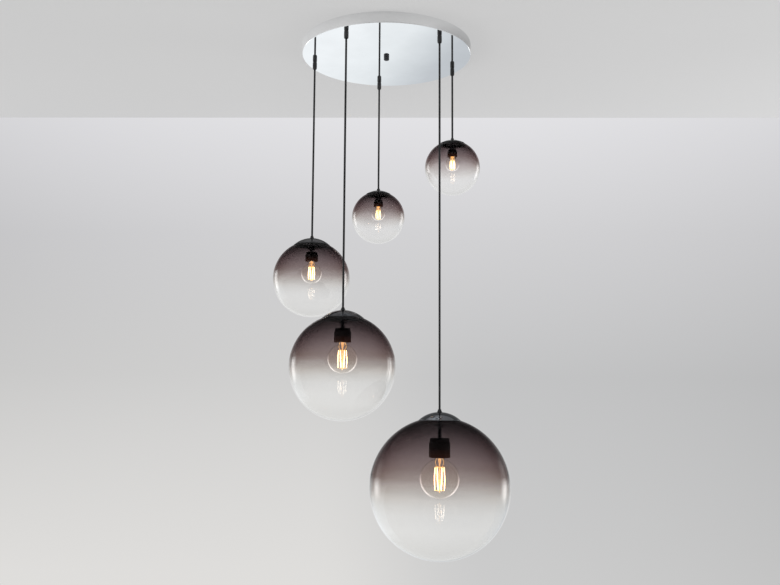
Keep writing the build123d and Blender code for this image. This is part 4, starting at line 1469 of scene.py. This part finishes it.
@dataclass
class Studio:
    """Camera, lamps, world and the plain surfaces round the object.

    The camera was fitted to the photograph.

    Args:
        picture_width: Width of the photograph in pixels.
        focal_pixels: The camera's focal length in those pixels.
        place: The camera's place.
        yaw: Its turn from +Y towards +X.
        pitch: Its tilt up.
        roll: Its roll.
        sensor: Width of its sensor in millimetres.
        wall_y: Where the wall crosses the middle plane.
        wall_skew: How far the wall comes nearer for each metre to the right.
        ceiling_z: Height of the ceiling's underside.
        floor_z: Height of the floor.
        reach: How far the room goes to each side.
        window_light: Brightness of the windows.
        window_way: Angle between +Y and the middle of each window.
        window_edge: The angles from its middle at which a window starts to fade and ends.
        window_drop: How far below the level a window's middle is, as a direction's height.
        window_half: How far above or below that it starts to fade and ends.
        canopy_slope: How steeply down the ways run that the canopy's underside mirrors.
        lamps: The lamps.
    """

    picture_width: float = 780.0
    focal_pixels: float = 884.5
    place: tuple[float, float, float] = (0.0058, -2.2915, -0.9204)
    yaw: float = np.radians(0.19)
    pitch: float = np.radians(6.376)
    roll: float = np.radians(0.357)
    sensor: float = 36.0
    wall_y: float = 0.62
    wall_skew: float = 0.022
    ceiling_z: float = 0.0004
    floor_z: float = -2.3
    reach: float = 7.0
    window_light: float = 3.2
    window_way: float = np.radians(54.0)
    window_edge: tuple[float, float] = (np.radians(1.0), np.radians(15.0))
    window_drop: float = 0.07
    window_half: tuple[float, float] = (0.12, 0.3)
    canopy_slope: float = 0.39
    lamps: tuple[Lamp, ...] = (
        Lamp("left_strip", (-2.1, 0.45, -1.0), (0.0, -0.1, -1.0), (0.5, 1.0), 12.0),
        Lamp("right_strip", (2.1, 0.45, -1.0), (0.0, -0.1, -1.0), (0.5, 1.0), 12.0),
        Lamp("front_fill", (-1.2, -3.0, -0.6), (0.0, 0.0, -0.7), (1.4, 1.4), 14.0),
    )

    def add_camera(self) -> None:
        """Places the camera from its forward, right and up directions."""
        forward = np.array([np.sin(self.yaw) * np.cos(self.pitch), np.cos(self.yaw) * np.cos(self.pitch),
                            np.sin(self.pitch)])
        level = np.array([np.cos(self.yaw), -np.sin(self.yaw), 0.0])
        upright = np.cross(level, forward)
        right = np.cos(self.roll) * level + np.sin(self.roll) * upright
        up = -np.sin(self.roll) * level + np.cos(self.roll) * upright
        data = bpy.data.cameras.new("photo_camera")
        data.sensor_fit = "HORIZONTAL"
        data.sensor_width = self.sensor
        data.lens = self.focal_pixels / self.picture_width * self.sensor
        data.clip_start = 0.01
        camera = bpy.data.objects.new("photo_camera", data)
        turn = np.eye(4)
        turn[:3, 0], turn[:3, 1], turn[:3, 2], turn[:3, 3] = right, up, -forward, self.place
        camera.matrix_world = Matrix(turn.tolist())
        bpy.context.scene.collection.objects.link(camera)
        bpy.context.scene.camera = camera

    def panel(self, name: str, corners: list[tuple[float, float, float]],
              material: bpy.types.Material) -> bpy.types.Object:
        """A flat stage surface through four corners.

        Args:
            name: The surface's name.
            corners: Its corners, anticlockwise as seen from inside the room.
            material: Its finish.

        Returns:
            The surface.
        """
        mesh = bpy.data.meshes.new(name)
        mesh.from_pydata(corners, [], [(0, 1, 2, 3)])
        mesh.materials.append(material)
        piece = bpy.data.objects.new(name, mesh)
        bpy.context.scene.collection.objects.link(piece)
        return piece

    def paint(self, name: str, tone: Callable[[Nodes, list], object],
              mirrored: Callable[[Nodes, list], object], shadowed: float) -> bpy.types.Material:
        """A one-sided stage finish of painted light: one tone for the camera and through glass, another, a
        painted reflection, in metal.

        Args:
            name: The finish's name.
            tone: Gives the seen colour from the Nodes helper and the place's x, y and z.
            mirrored: Gives in the same way the painted reflection that metal and gloss show.
            shadowed: The share of the tone that comes from lit paint and so takes shadows; the rest glows as
                painted light.

        Returns:
            The material.
        """
        material = bpy.data.materials.new(name)
        material.use_nodes = True
        nodes = Nodes(material.node_tree)
        material.node_tree.nodes.clear()
        place = nodes.add("ShaderNodeSeparateXYZ")
        nodes.put(place.inputs[0], nodes.add("ShaderNodeTexCoord").outputs["Object"])
        seen = tone(nodes, list(place.outputs))
        ray = nodes.add("ShaderNodeLightPath")
        reflected = nodes.math("SUBTRACT", ray.outputs["Is Glossy Ray"], ray.outputs["Is Transmission Ray"])
        in_metal = nodes.math("GREATER_THAN", reflected, 0.5)
        glow = nodes.add("ShaderNodeEmission")
        nodes.put(glow.inputs["Color"], nodes.blend(in_metal, seen, mirrored(nodes, list(place.outputs))))
        glow.inputs["Strength"].default_value = 1.0
        paint = nodes.add("ShaderNodeBsdfDiffuse")
        nodes.put(paint.inputs["Color"], seen)
        lit = nodes.add("ShaderNodeMixShader")
        lit.inputs[0].default_value = shadowed
        nodes.put(lit.inputs[1], glow.outputs[0])
        nodes.put(lit.inputs[2], paint.outputs[0])
        hollow = nodes.add("ShaderNodeBsdfTransparent")
        side = nodes.add("ShaderNodeMixShader")
        nodes.put(side.inputs[0], nodes.add("ShaderNodeNewGeometry").outputs["Backfacing"])
        nodes.put(side.inputs[1], lit.outputs[0])
        nodes.put(side.inputs[2], hollow.outputs[0])
        nodes.put(nodes.add("ShaderNodeOutputMaterial").inputs["Surface"], side.outputs[0])
        material.cycles.emission_sampling = "NONE"
        return material

    def floor_tone(self, nodes: Nodes, place: list) -> tuple[float, float, float, float]:
        """One pale grey."""
        return grey(0.75)

    def room_in_metal(self, nodes: Nodes, place: list) -> tuple[float, float, float, float]:
        """The one grey that metal mirrors of the wall and the floor."""
        return grey(0.85)

    def wall_tone(self, nodes: Nodes, place: list) -> bpy.types.NodeSocket:
        """Painted light and shade: a paler top, a greyer middle, darker sides and a broad painted glow at the
        lower left.

        Args:
            nodes: The material's Nodes helper.
            place: The x, y and z of the shaded point.

        Returns:
            The wall's colour there.
        """
        height = nodes.spread(place[2], -1.5, 0.0, 0.0, 1.0)
        plain = nodes.ramp(height, [
            (0.0, grey(0.6)), (0.42, (0.548, 0.55, 0.555, 1.0)), (0.74, (0.645, 0.643, 0.657, 1.0)),
            (1.0, (0.765, 0.762, 0.785, 1.0))])
        aside = nodes.math("SUBTRACT", place[0], 0.1)
        dim = nodes.spread(nodes.math("MULTIPLY", aside, aside), 0.0, 4.0, 0.0, 0.24)
        plain = nodes.blend(dim, plain, grey(0.0))
        down = nodes.spread(place[2], -0.4, -1.5, 0.0, 1.0)
        left = nodes.spread(place[0], 0.35, -0.25, 0.0, 1.0, smooth=True)
        return nodes.blend(nodes.math("MULTIPLY", down, left), plain, (0.735, 0.725, 0.71, 1.0))

    def ceiling_tone(self, nodes: Nodes, place: list) -> bpy.types.NodeSocket:
        """Painted light: a little paler towards the right."""
        across = nodes.spread(place[0], -1.2, 1.0, 0.0, 1.0)
        return nodes.grey_ramp(across, ((0.0, 0.625), (0.35, 0.68), (1.0, 0.71)))

    def ceiling_in_metal(self, nodes: Nodes, place: list) -> bpy.types.NodeSocket:
        """A painted reflection: pale round the canopy, more so at its left, and dim further out.

        Args:
            nodes: The material's Nodes helper.
            place: The x, y and z of the shaded point.

        Returns:
            The painted reflection that metal shows of the ceiling there.
        """
        across = nodes.spread(place[0], -0.26, 0.26, 0.0, 1.0)
        near = nodes.grey_ramp(across, ((0.0, 0.9), (0.3, 0.66), (0.5, 0.58), (0.8, 0.68), (1.0, 0.28)))
        squares = nodes.math("ADD", nodes.math("MULTIPLY", place[0], place[0]),
                             nodes.math("MULTIPLY", place[1], place[1]))
        far = nodes.spread(nodes.math("SQRT", squares), 0.4, 0.6, 0.0, 1.0, smooth=True)
        return nodes.blend(far, near, grey(0.14))

    def add_rooms(self) -> None:
        """The wall behind the object, the ceiling over it and the floor below."""
        far, back, turn = self.reach, self.wall_y, self.reach * self.wall_skew
        wall = self.paint("Wall paint", self.wall_tone, self.room_in_metal, 0.0)
        ceiling = self.paint("Ceiling paint", self.ceiling_tone, self.ceiling_in_metal, 0.5)
        floor = self.paint("Floor paint", self.floor_tone, self.room_in_metal, 0.6)
        top, low = self.ceiling_z, self.floor_z
        left, right = (-far, back + turn), (far, back - turn)
        behind = self.panel("studio_wall", [(*left, low), (*right, low), (*right, top), (*left, top)], wall)
        behind.visible_glossy = False
        near_left, near_right = (-far, -far), (far, -far)
        self.panel("studio_ceiling", [(*near_left, top), (*left, top), (*right, top), (*near_right, top)],
                   ceiling)
        self.panel("studio_floor", [(*near_left, low), (*near_right, low), (*right, low), (*left, low)],
                   floor)

    def add_world(self) -> None:
        """A plain pale surround, and a painted room that metal and glass show as their reflection.

        The painted reflection goes by direction (x, y, z): pale low down, grey when level and dark overhead
        and towards -Y, with a soft upright painted window at each side. The windows show only in rays that
        haven't gone through glass, so that a bubble mirrors them once. The painted reflection in the canopy's
        underside, where z / y is near minus the canopy's slope, runs from white at the left to grey at the
        right.
        """
        world = bpy.data.worlds.new("studio_world")
        world.use_nodes = True
        bpy.context.scene.world = world
        nodes = Nodes(world.node_tree)
        back = world.node_tree.nodes["Background"]
        way = nodes.add("ShaderNodeSeparateXYZ")
        nodes.put(way.inputs[0], nodes.add("ShaderNodeTexCoord").outputs["Generated"])
        x, y, z = way.outputs
        height = nodes.spread(z, -1.0, 1.0, 0.0, 1.0)
        pale = nodes.grey_ramp(height, ((0.0, 0.8), (0.5, 0.68), (1.0, 0.6)))
        room = nodes.grey_ramp(height, ((0.0, 0.85), (0.45, 0.72), (0.56, 0.5), (0.68, 0.16), (1.0, 0.12)))
        ahead = nodes.math("MAXIMUM", y, 0.05)
        slope = nodes.math("DIVIDE", z, ahead)
        from_canopy = nodes.math("ADD", slope, self.canopy_slope)
        slant = nodes.math("MULTIPLY_ADD", from_canopy, 0.9, nodes.math("DIVIDE", x, ahead))
        # A painted reflection for the canopy's underside, white at the left and grey at the right
        sheen = nodes.ramp(nodes.spread(slant, -0.08, 0.12, 0.0, 1.0), [
            (0.0, (0.95, 0.985, 1.01, 1.0)), (0.4, (0.86, 0.90, 0.925, 1.0)),
            (0.575, (0.71, 0.75, 0.78, 1.0)), (0.74, (0.58, 0.615, 0.65, 1.0)),
            (1.0, (0.54, 0.575, 0.61, 1.0))])
        room = nodes.blend(nodes.spread(slope, -0.22, -0.32, 0.0, 1.0, smooth=True), room, sheen)
        # Painted windows, which show only in reflections
        turn = nodes.math("ABSOLUTE", nodes.math("ARCTAN2", x, y))
        aside = nodes.math("ABSOLUTE", nodes.math("SUBTRACT", turn, self.window_way))
        window = nodes.spread(aside, *self.window_edge, 1.0, 0.0, smooth=True)
        from_middle = nodes.math("ABSOLUTE", nodes.math("ADD", z, self.window_drop))
        upright = nodes.spread(from_middle, *self.window_half, 1.0, 0.0, smooth=True)
        ray = nodes.add("ShaderNodeLightPath")
        direct = nodes.math("LESS_THAN", ray.outputs["Transmission Depth"], 0.5)
        share = nodes.math("MULTIPLY", nodes.math("MULTIPLY", window, upright), direct)
        room = nodes.blend(share, room, grey(self.window_light))
        front = nodes.spread(y, -0.92, -0.72, 1.0, 0.0, smooth=True)
        room = nodes.blend(front, room, grey(0.04))
        nodes.put(back.inputs["Color"], nodes.blend(ray.outputs["Is Glossy Ray"], pale, room))
        back.inputs["Strength"].default_value = 1.0

    def add_lamp(self, lamp: Lamp) -> None:
        """Places a lamp so that it shows neither in gloss nor through glass.

        Args:
            lamp: The lamp.
        """
        data = bpy.data.lights.new(lamp.name, "AREA")
        data.shape = "RECTANGLE"
        data.size, data.size_y = lamp.size
        data.energy = lamp.power
        holder = bpy.data.objects.new(lamp.name, data)
        holder.visible_glossy = False
        holder.visible_transmission = False
        ahead = np.array(lamp.aim) - np.array(lamp.place)
        ahead = ahead / np.linalg.norm(ahead)
        right = np.cross(ahead, (0.0, 0.0, 1.0))
        right /= np.linalg.norm(right)
        up = np.cross(right, ahead)
        turn = np.eye(4)
        turn[:3, 0], turn[:3, 1], turn[:3, 2], turn[:3, 3] = right, up, -ahead, lamp.place
        holder.matrix_world = Matrix(turn.tolist())
        bpy.context.scene.collection.objects.link(holder)

    def build(self) -> None:
        """Sets up the whole studio."""
        bpy.context.scene.view_settings.view_transform = "Standard"
        self.add_camera()
        self.add_rooms()
        self.add_world()
        for lamp in self.lamps:
            self.add_lamp(lamp)


def main() -> None:
    """Builds the studio, the canopy and the five pendants."""
    logging.basicConfig(level=logging.INFO, format="%(name)s: %(message)s")
    Studio().build()
    palette = Palette()
    Canopy(palette).build()
    for number in PENDANTS:
        Pendant(number, palette).build()


if __name__ == "__main__":
    main()
